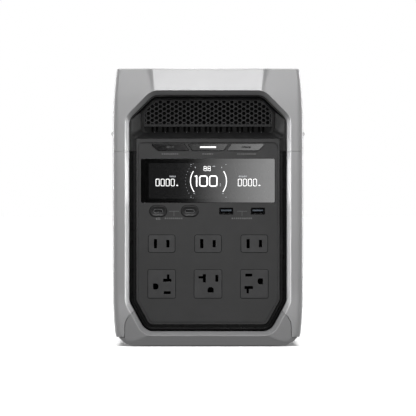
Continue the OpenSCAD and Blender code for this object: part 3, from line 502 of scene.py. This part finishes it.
def edge_depth(x, z, d):
    """How far the rounded edge of the case drops at a point, d inside the surface."""
    reach = EDGE_REACH + EDGE_REACH_GAIN * smooth_step(z, TOP, EDGE_REACH_Z)
    side = max(shell_half_w(z) - abs(x) - d, 0)
    drops = [arc_drop(EDGE_FLATNESS * reach, min(max(reach - side, 0), reach))]
    for radius, away in ((SIDE_EDGE, side), (TOP_EDGE, TOP - z - d),
                         (BOTTOM_EDGE, z - BASE_BOTTOM - d)):
        radius = max(radius - d, LEAST_EDGE)
        drops.append(arc_drop(radius, radius - min(max(away, 0), radius)))
    return drops[0] + math.hypot(*drops[1:])


# ---------------------------------------------------------------------------
# Mesh helpers
# ---------------------------------------------------------------------------


def link_mesh(name, bm):
    """An object in the scene that holds bm's mesh. bm is freed."""
    mesh = bpy.data.meshes.new(name)
    bm.to_mesh(mesh)
    bm.free()
    obj = bpy.data.objects.new(name, mesh)
    bpy.context.scene.collection.objects.link(obj)
    return obj


def remove_object(obj):
    mesh = obj.data
    bpy.data.objects.remove(obj)
    bpy.data.meshes.remove(mesh)


def to_metres(bm):
    """Turns a mesh's millimetres into metres, and its faces outwards."""
    bmesh.ops.scale(bm, vec=(MM, MM, MM), verts=bm.verts)
    bmesh.ops.recalc_face_normals(bm, faces=bm.faces)


def make_piece(name, bm, slot, body="housing", replaces=(), smooth_angle=35, material=None):
    """A piece from bm, whose coordinates are millimetres, with sharp edges marked.
    """
    to_metres(bm)
    limit = math.radians(smooth_angle)
    for face in bm.faces:
        face.smooth = True
    for edge in bm.edges:
        edge.smooth = edge.is_manifold and edge.calc_face_angle(0) < limit
    obj = link_mesh(name, bm)
    obj.data.materials.append(MATERIALS[material or slot])
    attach(obj, body)
    if replaces:
        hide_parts(*replaces)


def add_loft(bm, rings, closed=False):
    """Quads between rings of equally many points, with a face over each end.

    Where closed, the last ring is joined to the first instead.
    """
    made = [[bm.verts.new(p) for p in ring] for ring in rings]
    count = len(made[0])
    pairs = list(zip(made, made[1:])) + ([(made[-1], made[0])] if closed else [])
    for a, b in pairs:
        for i in range(count):
            j = (i + 1) % count
            bm.faces.new((a[i], a[j], b[j], b[i]))
    if not closed:
        bm.faces.new(list(reversed(made[0])))
        bm.faces.new(made[-1])


def y_of(depth):
    return -HALF_L + depth


def ring_at(points, depth):
    return [(x, y_of(depth), z) for x, z in points]


def add_prism(bm, points, front_depth, back_depth, edge=0.0):
    """A plate with an upright outline and a small chamfer round its front edge."""
    rings = [ring_at(points, back_depth)]
    if edge:
        rings += [ring_at(points, front_depth + edge), ring_at(inset(points, edge), front_depth)]
    else:
        rings += [ring_at(points, front_depth)]
    add_loft(bm, rings)


def add_ring_prism(bm, outer, inner, front_depth, back_depth):
    """A flat ring between two outlines of equally many points."""
    add_loft(bm, [ring_at(outer, back_depth), ring_at(outer, front_depth),
                  ring_at(inner, front_depth), ring_at(inner, back_depth)], closed=True)


def turn_to_rear(bm):
    """Turns everything in a mesh half round, from the front to the rear."""
    for vert in bm.verts:
        vert.co.x, vert.co.y = -vert.co.x, -vert.co.y


def keep_part(bm, height, above):
    """Cuts a closed mesh at a height and keeps one side, closing it again."""
    geometry = bm.verts[:] + bm.edges[:] + bm.faces[:]
    cut = bmesh.ops.bisect_plane(bm, geom=geometry, plane_co=(0, 0, height), plane_no=(0, 0, 1),
                                 clear_inner=above, clear_outer=not above)
    edges = [e for e in cut["geom_cut"] if isinstance(e, bmesh.types.BMEdge)]
    bmesh.ops.edgeloop_fill(bm, edges=edges)


# ---------------------------------------------------------------------------
# Case: one hollow skin, cut along its seams
# ---------------------------------------------------------------------------

CENTRE_Z = 140.0
# Rays closer together than the least angle, in degrees, become one. Wider gaps are filled.
LEAST_RAY_ANGLE, MOST_RAY_ANGLE = 0.08, 1.1
# Rays where the folds of the face reach the top and the foot, in degrees from upright
FOLD_START, FOLD_STEP, FOLD_RAYS = 18, 0.35, 26
# Width of the outer part of the face, where the rings are denser: at most, and as a share
ROUNDED_MOST, ROUNDED_SHARE = 10.5, 0.72
FLAT_RINGS, ROUNDED_RINGS = 6, 10


def ray_hit(points, angle):
    """Where a ray from the middle of the front leaves an outline, at its furthest crossing."""
    dx, dz = math.cos(angle), math.sin(angle)
    best = None
    for i, (x1, z1) in enumerate(points):
        x2, z2 = points[(i + 1) % len(points)]
        z1r, z2r = z1 - CENTRE_Z, z2 - CENTRE_Z
        det = dx * (z2r - z1r) - dz * (x2 - x1)
        if abs(det) < 1e-12:
            continue
        r = (x1 * (z2r - z1r) - z1r * (x2 - x1)) / det
        s = (x1 * dz - z1r * dx) / det
        if r > 0 and -1e-9 <= s <= 1 + 1e-9 and (best is None or r > best):
            best = r
    return (best * dx, CENTRE_Z + best * dz)


def ray_angles():
    """Angles of the rays that the skin's points lie on, dense at corners and folds."""
    corners = silhouette(0) + opening(0, 8) + opening(BEVEL_WIDTH, 8)
    found = {math.atan2(z - CENTRE_Z, x) for x, z in corners}
    for middle in (math.pi / 2, -math.pi / 2):
        for side in (-1, 1):
            found |= {middle + side * math.radians(FOLD_START + FOLD_STEP * k)
                      for k in range(FOLD_RAYS)}
    ordered, result = sorted(found), []
    for a, b in zip(ordered, ordered[1:] + [ordered[0] + 2 * math.pi]):
        if b - a < math.radians(LEAST_RAY_ANGLE):
            continue
        parts = max(1, math.ceil((b - a) / math.radians(MOST_RAY_ANGLE)))
        result += [a + (b - a) * k / parts for k in range(parts)]
    return result


def skin_rings():
    """Rings of the whole hollow case, in order round its wall.

    They run from the front collar out over the face, back along the outside to the rear
    collar, and home again along the inside. Until they are placed, a point is x, depth, z.
    """
    angles = ray_angles()

    def hits(outline):
        return [ray_hit(outline, a) for a in angles]

    rim, outer, inner = hits(opening(0)), hits(silhouette(0)), hits(silhouette(SKIN))
    collar = hits(opening(-COLLAR_WIDTH))

    def on_face(points, d=0.0, drop=0.0):
        return [(x, face_depth(x, z) + edge_depth(x, z, d) + d + drop, z) for x, z in points]

    def between(a, b, t):
        return [(p[0] + (q[0] - p[0]) * t, p[1] + (q[1] - p[1]) * t) for p, q in zip(a, b)]

    def bevel(d, drop=0.0):
        """A ring on the bevel of the opening, d in from the opening's edge."""
        start = [face_depth(x, z) for x, z in rim]
        return [(x, s + (BEVEL_DEPTH - s) * d / BEVEL_WIDTH + drop, z)
                for (x, z), s in zip(hits(opening(d)), start)]

    lip = hits(opening(BEVEL_WIDTH))
    front = [[(x, COLLAR_DEPTH, z) for x, z in lip], [(x, BEVEL_DEPTH + 0.5, z) for x, z in lip]]
    front += [bevel(4.0, 0.05), bevel(3.7), bevel(2.2), bevel(0.5), bevel(0.3), bevel(0.1, 0.07)]
    front += [on_face(hits(opening(-0.08)), 0.0, 0.03), on_face(hits(opening(-0.28)))]
    near = hits(opening(-0.9))
    reach = [math.hypot(q[0] - p[0], q[1] - p[1]) for p, q in zip(near, outer)]
    rounded_part = [min(ROUNDED_MOST, ROUNDED_SHARE * length) for length in reach]
    for k in range(FLAT_RINGS):
        front.append(on_face([(p[0] + (q[0] - p[0]) * (1 - r / length) * k / FLAT_RINGS,
                               p[1] + (q[1] - p[1]) * (1 - r / length) * k / FLAT_RINGS)
                              for p, q, r, length in zip(near, outer, rounded_part, reach)]))
    last = ROUNDED_RINGS - 1
    for k in range(ROUNDED_RINGS):
        away = 1 - math.sin(math.pi / 2 * k / last) if k < last else 0.0
        front.append(on_face([(q[0] + (p[0] - q[0]) * r / length * away,
                               q[1] + (p[1] - q[1]) * r / length * away)
                              for p, q, r, length in zip(near, outer, rounded_part, reach)]))
    back = [[(x, COLLAR_DEPTH, z) for x, z in collar], on_face(collar, SKIN)]
    for t in (0.35, 0.6, 0.75, 0.87, 0.95, 1.0):
        back.append(on_face(between(collar, inner, t), SKIN))

    def placed(rings, mirrored):
        return [[(x, -y_of(depth) if mirrored else y_of(depth), z) for x, depth, z in ring]
                for ring in rings]

    def middle(first, last):
        return [[(p[0], p[1] + (q[1] - p[1]) * t, p[2]) for p, q in zip(first, last)]
                for t in (0.2, 0.4, 0.6, 0.8)]

    outside_front, outside_rear = placed(front, False), placed(front, True)[::-1]
    inside_front, inside_rear = placed(back, False), placed(back, True)[::-1]
    rings = outside_front + middle(outside_front[-1], outside_rear[0]) + outside_rear
    rings += inside_rear[::-1] + middle(inside_rear[0], inside_front[-1]) + inside_front[::-1]
    return rings


# The flared front of the base: half its width, where it starts to narrow, its top, how much
# it narrows on each side, and the radius of the corner between its side and its slope
FLARE_HALF_W, FLARE_SIDE_Z, FLARE_TOP_Z, FLARE_NARROWING = 84.9, 27.6, 50.2, 25
FLARE_RADIUS, SHARP = 19.4, 0.01


def flare_outline(d):
    """Seam of the flared front of the base, d outside it, with arms under the side shells."""
    w, low = FLARE_HALF_W, -CUTTER_REACH
    points = inset([(-w, low), (w, low), (w, FLARE_SIDE_Z), (w - FLARE_NARROWING, FLARE_TOP_Z),
                    (-w + FLARE_NARROWING, FLARE_TOP_Z), (-w, FLARE_SIDE_Z)], -d)
    arcs = rounded(points, [SHARP, SHARP, FLARE_RADIUS, SHARP, SHARP, FLARE_RADIUS], 10)
    wide, level = HALF_W + CUTTER_REACH, SKIRT_Z - GAP / 2 + d
    upper = [p for p in arcs if p[1] > SKIRT_Z + 1]
    right = [(wide, low), (wide, level), (w + d, level)]
    return [(-wide, low)] + right + upper + [(-w - d, level), (-wide, level)]


def cut_piece(name, source, outline, slot, material, replaces):
    """The part of the skin inside an upright outline, as a piece."""
    cutter_bm = bmesh.new()
    add_loft(cutter_bm, [[(x, -HALF_L - 20, z) for x, z in outline],
                         [(x, HALF_L + 20, z) for x, z in outline]])
    to_metres(cutter_bm)
    cutter = link_mesh("cutter", cutter_bm)
    modifier = source.modifiers.new("cut", "BOOLEAN")
    modifier.operation = "INTERSECT"
    modifier.solver = "EXACT"
    modifier.object = cutter
    graph = bpy.context.evaluated_depsgraph_get()
    bm = bmesh.new()
    bm.from_mesh(source.evaluated_get(graph).to_mesh())
    source.modifiers.remove(modifier)
    remove_object(cutter)
    bmesh.ops.scale(bm, vec=(1 / MM, 1 / MM, 1 / MM), verts=bm.verts)
    bmesh.ops.remove_doubles(bm, verts=bm.verts, dist=0.002)
    make_piece(name, bm, slot, replaces=replaces, smooth_angle=30, material=material)


def build_case():
    bm = bmesh.new()
    add_loft(bm, skin_rings(), closed=True)
    to_metres(bm)
    skin = link_mesh("skin", bm)
    wide, half_gap = HALF_W + CUTTER_REACH, GAP / 2
    upper = [(-wide, SEAM_Z + half_gap), (wide, SEAM_Z + half_gap),
             (wide, TOP + CUTTER_REACH), (-wide, TOP + CUTTER_REACH)]
    cut_piece("case_upper", skin, upper, "shell", "shell", ["upper_shell"])
    # The base takes the darker silver, with painted shade for its downward faces
    cut_piece("case_base", skin, flare_outline(0), "shell", "shaded_base_shell", ["base_tray"])
    seam = [p for p in flare_outline(FLARE_GAP) if p[0] > 0 and p[1] > SKIRT_Z]
    right = seam + [(40, seam[-1][1]), (40, SEAM_Z - half_gap), (wide, SEAM_Z - half_gap)]
    cut_piece("case_side_right", skin, right, "shell", "shell", ["side_shell_right"])
    left = [(-x, z) for x, z in reversed(right)]
    cut_piece("case_side_left", skin, left, "shell", "shell", ["side_shell_left"])
    remove_object(skin)


build_case()

# ---------------------------------------------------------------------------
# Frame rings round the openings
# ---------------------------------------------------------------------------

# Section of a bezel with a raised bead: distance in from the opening's edge, and depth
BEAD = [(4.5, 15.0), (4.5, 11.7), (4.75, 11.45), (5.5, 11.4), (5.8, 11.1), (5.8, 10.3),
        (6.05, 9.95), (6.5, 9.8), (7.3, 9.8), (7.75, 9.95), (8.0, 10.3), (8.0, 11.1),
        (8.25, 11.4), (10.9, 11.4), (11.15, 11.65), (11.2, 15.0)]


def build_bezel(name, node, rear):
    bm = bmesh.new()
    add_loft(bm, [ring_at(opening(d), depth) for d, depth in BEAD], closed=True)
    if rear:
        turn_to_rear(bm)
    keep_part(bm, SEAM_Z - GAP / 2, above=False)
    make_piece(name, bm, "bezel", replaces=[node], smooth_angle=40)


build_bezel("bezel_front", "front_bezel", False)
build_bezel("bezel_rear", "rear_bezel", True)

# ---------------------------------------------------------------------------
# CAD nodes that stay: rounded edges, smooth shading and a finish
# ---------------------------------------------------------------------------


# In metres, and in degrees
WELD_DISTANCE = 0.000004
SMOOTH_ANGLE, FLAT_ANGLE, EDGE_ANGLE = 32, 0.4, 35


def smoothing_group():
    """Geometry nodes that weld a tessellated node and shade it smooth below an angle."""
    group = bpy.data.node_groups.new("weld_and_smooth", "GeometryNodeTree")
    group.interface.new_socket("Geometry", in_out="INPUT", socket_type="NodeSocketGeometry")
    group.interface.new_socket("Geometry", in_out="OUTPUT", socket_type="NodeSocketGeometry")
    nodes, links = group.nodes, group.links
    start, end = nodes.new("NodeGroupInput"), nodes.new("NodeGroupOutput")
    drop = nodes.new("GeometryNodeRemoveAttribute")
    drop.inputs["Name"].default_value = "custom_normal"
    weld = nodes.new("GeometryNodeMergeByDistance")
    weld.inputs["Distance"].default_value = WELD_DISTANCE
    angle = nodes.new("GeometryNodeInputMeshEdgeAngle")
    compare = nodes.new("FunctionNodeCompare")
    compare.operation = "LESS_THAN"
    compare.inputs[1].default_value = math.radians(SMOOTH_ANGLE)
    faces = nodes.new("GeometryNodeSetShadeSmooth")
    faces.domain = "FACE"
    edges = nodes.new("GeometryNodeSetShadeSmooth")
    edges.domain = "EDGE"
    links.new(start.outputs[0], drop.inputs["Geometry"])
    links.new(drop.outputs["Geometry"], weld.inputs["Geometry"])
    links.new(weld.outputs["Geometry"], faces.inputs["Geometry"])
    links.new(angle.outputs["Unsigned Angle"], compare.inputs[0])
    links.new(compare.outputs["Result"], edges.inputs["Shade Smooth"])
    links.new(faces.outputs["Geometry"], edges.inputs["Geometry"])
    links.new(edges.outputs["Geometry"], end.inputs[0])
    return group


SMOOTHING = smoothing_group()


def refine(node, material, edge):
    """Gives a CAD node its finish, and rounds its edges by `edge` millimetres."""
    obj = NODES[node]
    obj.data.materials.clear()
    obj.data.materials.append(MATERIALS[material])
    smooth = obj.modifiers.new("smooth", "NODES")
    smooth.node_group = SMOOTHING
    if edge:
        flat = obj.modifiers.new("flat", "DECIMATE")
        flat.decimate_type = "DISSOLVE"
        flat.angle_limit = math.radians(FLAT_ANGLE)
        bevel = obj.modifiers.new("edge", "BEVEL")
        bevel.width = edge * MM
        bevel.segments = 2
        bevel.limit_method = "ANGLE"
        bevel.angle_limit = math.radians(EDGE_ANGLE)
        bevel.harden_normals = True
        bevel.use_clamp_overlap = True


# Finish and bevel width: the nodes that have them
KEPT = {
    ("foot_rubber", 0.4): ["foot_pads"],
    ("screw_steel", 0.15): ["case_screws", "cap_pin"],
    ("shell", 0.25): ["eyelet_left", "eyelet_right"],
    ("panel", 0.25): ["front_panel", "rear_panel"],
    ("liner", 0.4): ["front_grip_liner", "rear_grip_liner"],
    ("grille", 0.2): ["front_grille", "rear_grille"],
    ("louvre", 0.25): ["front_louvre", "rear_louvre"],
    ("filter_foam", 0): ["front_filter"],
    ("bare_aluminium", 0.2): ["fan_bracket"],
    ("lens", 0.25): ["screen_lens"],
    ("module", 0.3): ["display_module"],
    ("circuit_board", 0): ["control_board", "bms_board", "inverter_board"],
    ("button", 0.25): ["button_ac", "button_power", "button_usb"],
    ("light_off", 0.15): ["light_ac", "light_usb"],
    ("light_on", 0.15): ["light_power"],
    ("inlet", 0.4): ["ac_inlet", "dc_inlet", "breaker"],
    ("port_steel", 0.35): ["car_socket"],
    ("cap_rubber", 0.4): ["socket_cap"],
    ("reset", 0.6): ["reset_button"],
    ("cell_wrap", 0.8): ["battery_cells"],
    ("inner_plastic", 0.4): ["cell_tray"],
    ("bare_aluminium", 0.4): ["cell_end_plates"],
    ("copper", 0.4): ["busbars"],
    ("bare_aluminium", 0.3): ["chassis", "heat_sink"],
    ("component_wrap", 0.5): ["power_parts"],
    ("inner_plastic", 0.3): ["fan_frame_1", "fan_frame_2"],
    ("inner_plastic", 0.2): ["fan_rotor_1", "fan_rotor_2"],
    ("outlet", 0.15): [f"outlet_{kind}_{index}" for kind in ("15a", "20a")
                       for index in (1, 2, 3)],
}


# Colour of the painted shade deep in slots and ports
PAINTED_SHADE_BLACK = (0.0006, 0.0006, 0.0006)


def paint_shade_behind(shader, depth, reach):
    """Paints shade into a finish: black and without reflection further than `depth` behind the
    front plane, over `reach`.
    """
    axes = shader.nodes.new("ShaderNodeSeparateXYZ")
    shader.link(shader.place, axes.inputs["Vector"])
    painted_shade_amount = shader.spread(axes.outputs["Y"], 0, 1, y_of(depth) * MM, y_of(depth + reach) * MM)
    socket = shader.principled.inputs
    colour = socket["Base Color"].links[0].from_socket
    shader.link(shader.mix(painted_shade_amount, colour, PAINTED_SHADE_BLACK), socket["Base Color"])
    shader.link(shader.spread(painted_shade_amount, 0.5, 0.0, 0, 1), socket["Specular IOR Level"])


# Painted shade deep in the outlets' slots and inside the USB-C ports' shells
paint_shade_behind(outlet_finish, FACE_DEPTH + 0.1, 0.3)
paint_shade_behind(nickel_finish, FACE_DEPTH + 0.7, 0.5)
for (material, edge), names in KEPT.items():
    for node in names:
        refine(node, material, edge)

# ---------------------------------------------------------------------------
# Studs along the foot of the front louvre
# ---------------------------------------------------------------------------

STUD_PITCH, STUD_Z, STUD_RADIUS = 11.0, 219.75, 0.55
STUD_SINK = 0.1
STUDS_EACH_SIDE = 5


def build_studs():
    bm = bmesh.new()
    face = box_mm("front_louvre")[0][1]
    for k in range(-STUDS_EACH_SIDE, STUDS_EACH_SIDE + 1):
        ball = bmesh.ops.create_uvsphere(bm, u_segments=12, v_segments=8, radius=STUD_RADIUS)
        bmesh.ops.translate(bm, verts=ball["verts"], vec=(STUD_PITCH * k, face + STUD_SINK, STUD_Z))
    make_piece("louvre_studs", bm, "liner", material="stud")


build_studs()

# ---------------------------------------------------------------------------
# USB ports
# ---------------------------------------------------------------------------


# Width, height and corner radius of the surround of a USB-C port
USB_C_PLATE = (17.2, 11.1, 5.5)


def middle_of(node):
    """Middle of a CAD node seen from the front: x and z."""
    low, high = box_mm(node)
    return ((low[0] + high[0]) / 2, (low[2] + high[2]) / 2)


def build_usb_c(index):
    """Oval surround with a dished face, a steel shell and a thin tongue."""
    node = f"usb_c_port_{index}"
    c = middle_of(node)
    width, height, radius = USB_C_PLATE
    bm = bmesh.new()
    rings = []
    for inward, depth in ((0.05, 17.4), (0.05, 9.75), (0.2, 9.4), (0.6, 9.22), (1.1, 9.25),
                          (1.6, 9.5), (2.1, 9.8)):
        oval = rounded_box(width - 2 * inward, height - 2 * inward, radius - inward, c)
        rings.append(ring_at(oval, depth))
    for w, h, depth in ((9.6, 4.0, 9.9), (9.3, 3.7, 10.1), (9.3, 3.7, 16.6)):
        rings.append(ring_at(rounded_box(w, h, h / 2 - 0.05, c), depth))
    add_loft(bm, rings)
    make_piece(f"usb_c_surround_{index}", bm, "port_surround", replaces=[node])
    bm = bmesh.new()
    outer, inner = rounded_box(9.2, 3.6, 1.75, c), rounded_box(8.6, 3.0, 1.45, c)
    crest = rounded_box(8.9, 3.3, 1.6, c)
    add_loft(bm, [ring_at(outer, 16.4), ring_at(outer, 10.0), ring_at(crest, 9.9),
                  ring_at(inner, 10.0), ring_at(inner, 16.4)], closed=True)
    make_piece(f"usb_c_shell_{index}", bm, "port_steel", material="port_nickel")
    bm = bmesh.new()
    add_prism(bm, rounded_box(6.5, 1.0, 0.3, c), 10.5, 16.5, 0.2)
    make_piece(f"usb_c_tongue_{index}", bm, "port_steel", material="port_nickel")


def build_usb_a(index):
    """Folded steel shell with a coloured tongue and two contact springs under it."""
    node = f"usb_a_port_{index}"
    c = middle_of(node)
    bm = bmesh.new()
    outlines = [(14.1, 6.8, 0.7, 23.4), (14.1, 6.8, 0.7, 9.5), (13.8, 6.5, 0.6, 9.32),
                (12.9, 5.6, 0.5, 9.5), (12.4, 5.1, 0.4, 10.1), (12.4, 5.1, 0.4, 22.6)]
    add_loft(bm, [ring_at(rounded_box(w, h, r, c, 4), depth) for w, h, r, depth in outlines])
    make_piece(f"usb_a_shell_{index}", bm, "port_steel", replaces=[node], material="port_black")
    bm = bmesh.new()
    add_prism(bm, rounded_box(11.1, 1.9, 0.25, (c[0], c[1] + 0.75), 3), 10.3, 22.5, 0.25)
    make_piece(f"usb_a_tongue_{index}", bm, "port_steel", material="port_tongue")
    bm = bmesh.new()
    low = c[1] - 2.5
    section = [(10.0, low), (22.4, low), (22.4, low + 0.25), (14.0, low + 0.95), (11.0, low + 0.3)]
    for side in (-1, 1):
        x = c[0] + side * 3.0
        add_loft(bm, [[(x + half, y_of(d), z) for d, z in section] for half in (-1.1, 1.1)])
    make_piece(f"usb_a_springs_{index}", bm, "port_steel")


for index in (1, 2):
    build_usb_c(index)
    build_usb_a(index)

# ---------------------------------------------------------------------------
# Painted shade: black rings just proud of the panel, standing for the gaps round the outlets and
# the USB-C ports
# ---------------------------------------------------------------------------

GAP_SHADE_WIDTH = 0.55
GAP_SHADE_FRONT, GAP_SHADE_BACK = FACE_DEPTH - 0.06, FACE_DEPTH + 0.4
# Nodes by the start of their names: width, height and corner radius, and how many there are
GAP_SHADE_SIZES = {"outlet_15a": (26.9, 17.5, 2.1, 3), "outlet_20a": (27.9, 28.7, 1.5, 3),
          "usb_c_port": (*USB_C_PLATE, 2)}


def build_gap_shade():
    # Each ring is a black sheet of painted shade over the gap round a plate
    bm = bmesh.new()
    for kind, (w, h, radius, count) in GAP_SHADE_SIZES.items():
        for number in range(1, count + 1):
            centre = middle_of(f"{kind}_{number}")
            outer = rounded_box(w + 2 * GAP_SHADE_WIDTH, h + 2 * GAP_SHADE_WIDTH, radius + GAP_SHADE_WIDTH, centre)
            inner = rounded_box(w, h, radius, centre)
            add_ring_prism(bm, outer, inner, GAP_SHADE_FRONT, GAP_SHADE_BACK)
    make_piece("port_gap_shade", bm, "panel", material="port_black")


build_gap_shade()

# ---------------------------------------------------------------------------
# Screen: lit marks and a faintly paler display area on the lens
# ---------------------------------------------------------------------------

LENS_LOW, LENS_HIGH = box_mm("screen_lens")
LENS_DEPTH = LENS_LOW[1] + HALF_L
LENS_Z = (LENS_LOW[2] + LENS_HIGH[2]) / 2
MARK_FRONT = LENS_DEPTH - 0.09
MARK_BACK = LENS_DEPTH + 0.3
# The area lies behind the marks and in front of the lens
AREA_FRONT = LENS_DEPTH - 0.03
AREA_WIDTH, AREA_HEIGHT, AREA_RADIUS = 122.0, 36.4, 0.8
AREA_MIDDLE = (0.4, LENS_Z - 0.3)
# Round gauge, with the charge figure in its middle
GAUGE_MIDDLE = (0.5, LENS_Z - 0.4)
GAUGE_RADIUS, GAUGE_STROKE, GAUGE_START, GAUGE_END = 18.4, 0.95, 37, 33
GAUGE_MARK_RADIUS, GAUGE_DOT_RADIUS = 19.4, 23.5
FIGURE_Z = LENS_Z - 0.45


def add_zero(bm, x, z, w, h, stroke):
    """A ring like the numeral nought, centred on x, z."""
    r = min(w, h) * 0.3
    add_ring_prism(bm, rounded_box(w, h, r, (x, z), 4),
                   rounded_box(w - 2 * stroke, h - 2 * stroke, max(r - stroke, 0.15), (x, z), 4),
                   MARK_FRONT, MARK_BACK)


def add_eight(bm, x, z, w, h, stroke):
    half = (h + stroke) / 2
    add_zero(bm, x, z + (h - half) / 2, w, half, stroke)
    add_zero(bm, x, z - (h - half) / 2, w, half, stroke)


def add_bar(bm, x, z, w, h, r=0.2):
    add_prism(bm, rounded_box(w, h, min(r, w / 2.1, h / 2.1), (x, z), 3), MARK_FRONT, MARK_BACK)


def add_arc(bm, centre, radius, start, end, width):
    """A curved stroke between two angles in degrees."""
    steps = max(2, int(abs(end - start) / 4))
    angles = [math.radians(start + (end - start) * k / steps) for k in range(steps + 1)]
    outer, inner = ([(centre[0] + r * math.cos(a), centre[1] + r * math.sin(a)) for a in angles]
                    for r in (radius + width / 2, radius - width / 2))
    add_prism(bm, outer + inner[::-1], MARK_FRONT, MARK_BACK)


def build_display():
    bm = bmesh.new()
    add_prism(bm, rounded_box(AREA_WIDTH, AREA_HEIGHT, AREA_RADIUS, AREA_MIDDLE),
              AREA_FRONT, MARK_BACK)
    make_piece("display_area", bm, "module", material="display_area")

    bm = bmesh.new()
    # Charge figure in the middle
    add_bar(bm, -11.6, FIGURE_Z, 1.35, 11.4)
    add_bar(bm, -12.7, LENS_Z + 4.5, 1.9, 1.2)
    for x in (-4.7, 5.4):
        add_zero(bm, x, FIGURE_Z, 8.8, 11.6, 1.3)
    # Time figure above it
    for x in (-3.0, 1.2):
        add_eight(bm, x, LENS_Z + 12.4, 3.0, 5.0, 0.45)
    add_bar(bm, -0.9, LENS_Z + 10.3, 0.6, 0.6)
    # Power figures on both sides
    for start in (-51.6, 32.6):
        for k in range(4):
            add_zero(bm, start + 5.15 * k, LENS_Z - 1.9, 4.0, 7.6, 0.6)
        add_bar(bm, start + 20.1, LENS_Z - 4.9, 1.7, 1.2, 0.4)
    # Gauge brackets, right and left
    for side, tilt in ((0, -1), (180, 1)):
        add_arc(bm, GAUGE_MIDDLE, GAUGE_RADIUS, side + tilt * GAUGE_START,
                side - tilt * GAUGE_END, GAUGE_STROKE)
    make_piece("display_figures", bm, "light_on", material="display_lit")

    bm = bmesh.new()
    # Dashes over the power figures
    for x, w in ((-36.2, 6.6), (35.6, 8.6)):
        for k in range(5):
            add_bar(bm, x - w / 2 + w * (k + 0.5) / 5, LENS_Z + 4.3, w / 5 - 0.45, 1.5, 0.3)
    # Small marks beside the time and charge figures
    for x, z in ((5.2, 14.6), (6.7, 14.6), (12.6, -5.2), (12.6, -3.5)):
        add_bar(bm, x, LENS_Z + z, 1.1, 1.0, 0.3)
    # Marks at the ends of the brackets, and dots over the gauge
    gauge_x, gauge_z = GAUGE_MIDDLE
    for side in (-1, 1):
        for angle in (46, -41):
            a = math.radians(angle)
            add_bar(bm, gauge_x + side * GAUGE_MARK_RADIUS * math.cos(a),
                    gauge_z + GAUGE_MARK_RADIUS * math.sin(a), 1.1, 1.1, 0.3)
        for z in (16.8, -16.8):
            add_bar(bm, gauge_x + side * 17.9, LENS_Z - 0.2 + z, 0.9, 0.9, 0.4)
    for k in range(13):
        a = math.radians(132 + 8 * k)
        add_bar(bm, gauge_x + GAUGE_DOT_RADIUS * math.cos(a),
                gauge_z + GAUGE_DOT_RADIUS * math.sin(a), 0.5, 0.5, 0.2)
    make_piece("display_marks", bm, "light_on", material="display_dim")


build_display()

# ---------------------------------------------------------------------------
# Printed marks on the panels: plain dashes and brackets, no lettering
# ---------------------------------------------------------------------------

PRINT_FRONT = FACE_DEPTH - 0.05
PRINT_BACK = FACE_DEPTH + 0.2
BUTTON_LABEL_Z = 196.8


def add_print(bm, x, z, width, height, radius):
    add_prism(bm, rounded_box(width, height, radius, (x, z), 2), PRINT_FRONT, PRINT_BACK)


def add_dashes(bm, x, z, width, height, count):
    """A row of short dashes where a label would be."""
    pitch = width / count
    for k in range(count):
        w = pitch * (0.78, 0.62, 0.7)[k % 3]
        add_print(bm, x - width / 2 + pitch * (k + 0.5), z, w, height, 0.25)


def build_front_print():
    bm = bmesh.new()
    for x, width, count in ((-38.9, 17.5, 9), (-0.3, 11.7, 5), (39.3, 19.4, 10)):
        add_dashes(bm, x, BUTTON_LABEL_Z, width, 1.5, count)
    usb_z = middle_of("usb_c_port_1")[1]
    for first, second in (("usb_c_port_1", "usb_c_port_2"), ("usb_a_port_1", "usb_a_port_2")):
        x = (middle_of(first)[0] + middle_of(second)[0]) / 2
        add_print(bm, x, usb_z - 0.1, 10.2, 0.45, 0.15)
        add_print(bm, x, usb_z - 2.7, 0.45, 4.6, 0.15)
    add_dashes(bm, -35.2, usb_z - 7.4, 18.6, 1.6, 9)
    add_dashes(bm, 34.6, usb_z - 7.4, 21.4, 1.6, 10)
    x = middle_of("usb_c_port_1")[0]
    for k in (-1, 0, 1):
        add_print(bm, x + 1.6 * k, usb_z - 7.8, 1.1, 2.4, 0.2)
    make_piece("front_print", bm, "panel", material="print_grey")


def build_rear_print():
    """Dashes under each inlet, drawn on the front plane and then turned to the rear."""
    bm = bmesh.new()
    for node, below, width, count in (("ac_inlet", 16.5, 17, 8), ("dc_inlet", 16.5, 12, 6),
                                      ("car_socket", 24.0, 17, 8), ("breaker", 13.5, 14, 7)):
        x, z = middle_of(node)
        z = middle_of("dc_inlet")[1] if node != "breaker" else z
        add_dashes(bm, -x, z - below, width, 1.5, count)
    turn_to_rear(bm)
    make_piece("rear_print", bm, "panel", material="print_grey")


build_front_print()
build_rear_print()

# ---------------------------------------------------------------------------
# Studio, in metres
# ---------------------------------------------------------------------------

FLOOR_HALF = 40
SUN_STRENGTH, SUN_ANGLE = 4.2, 60


def build_studio():
    """A wide pale floor with a light of its own."""
    bm = bmesh.new()
    half = FLOOR_HALF
    corners = [(-half, -half), (half, -half), (half, half), (-half, half)]
    bm.faces.new([bm.verts.new((x, y, 0)) for x, y in corners])
    floor = link_mesh("studio_floor", bm)
    shader = finish("floor", (0.86, 0.86, 0.86), 0.7, grain=200, grain_depth=0.05, spots=3,
                    variation=0.01)
    floor.data.materials.append(shader.material)
    # It sends no light on to the object: the world's fill from below does that
    floor.visible_diffuse = False
    floor.visible_glossy = False
    # A soft light from above that falls only on the floor, so that it stays pale
    sun = bpy.data.lights.new("floor_light", "SUN")
    sun.energy = SUN_STRENGTH
    sun.angle = math.radians(SUN_ANGLE)
    light = bpy.data.objects.new("floor_light", sun)
    bpy.context.scene.collection.objects.link(light)
    only_floor = bpy.data.collections.new("floor_only")
    only_floor.objects.link(floor)
    light.light_linking.receiver_collection = only_floor


build_studio()
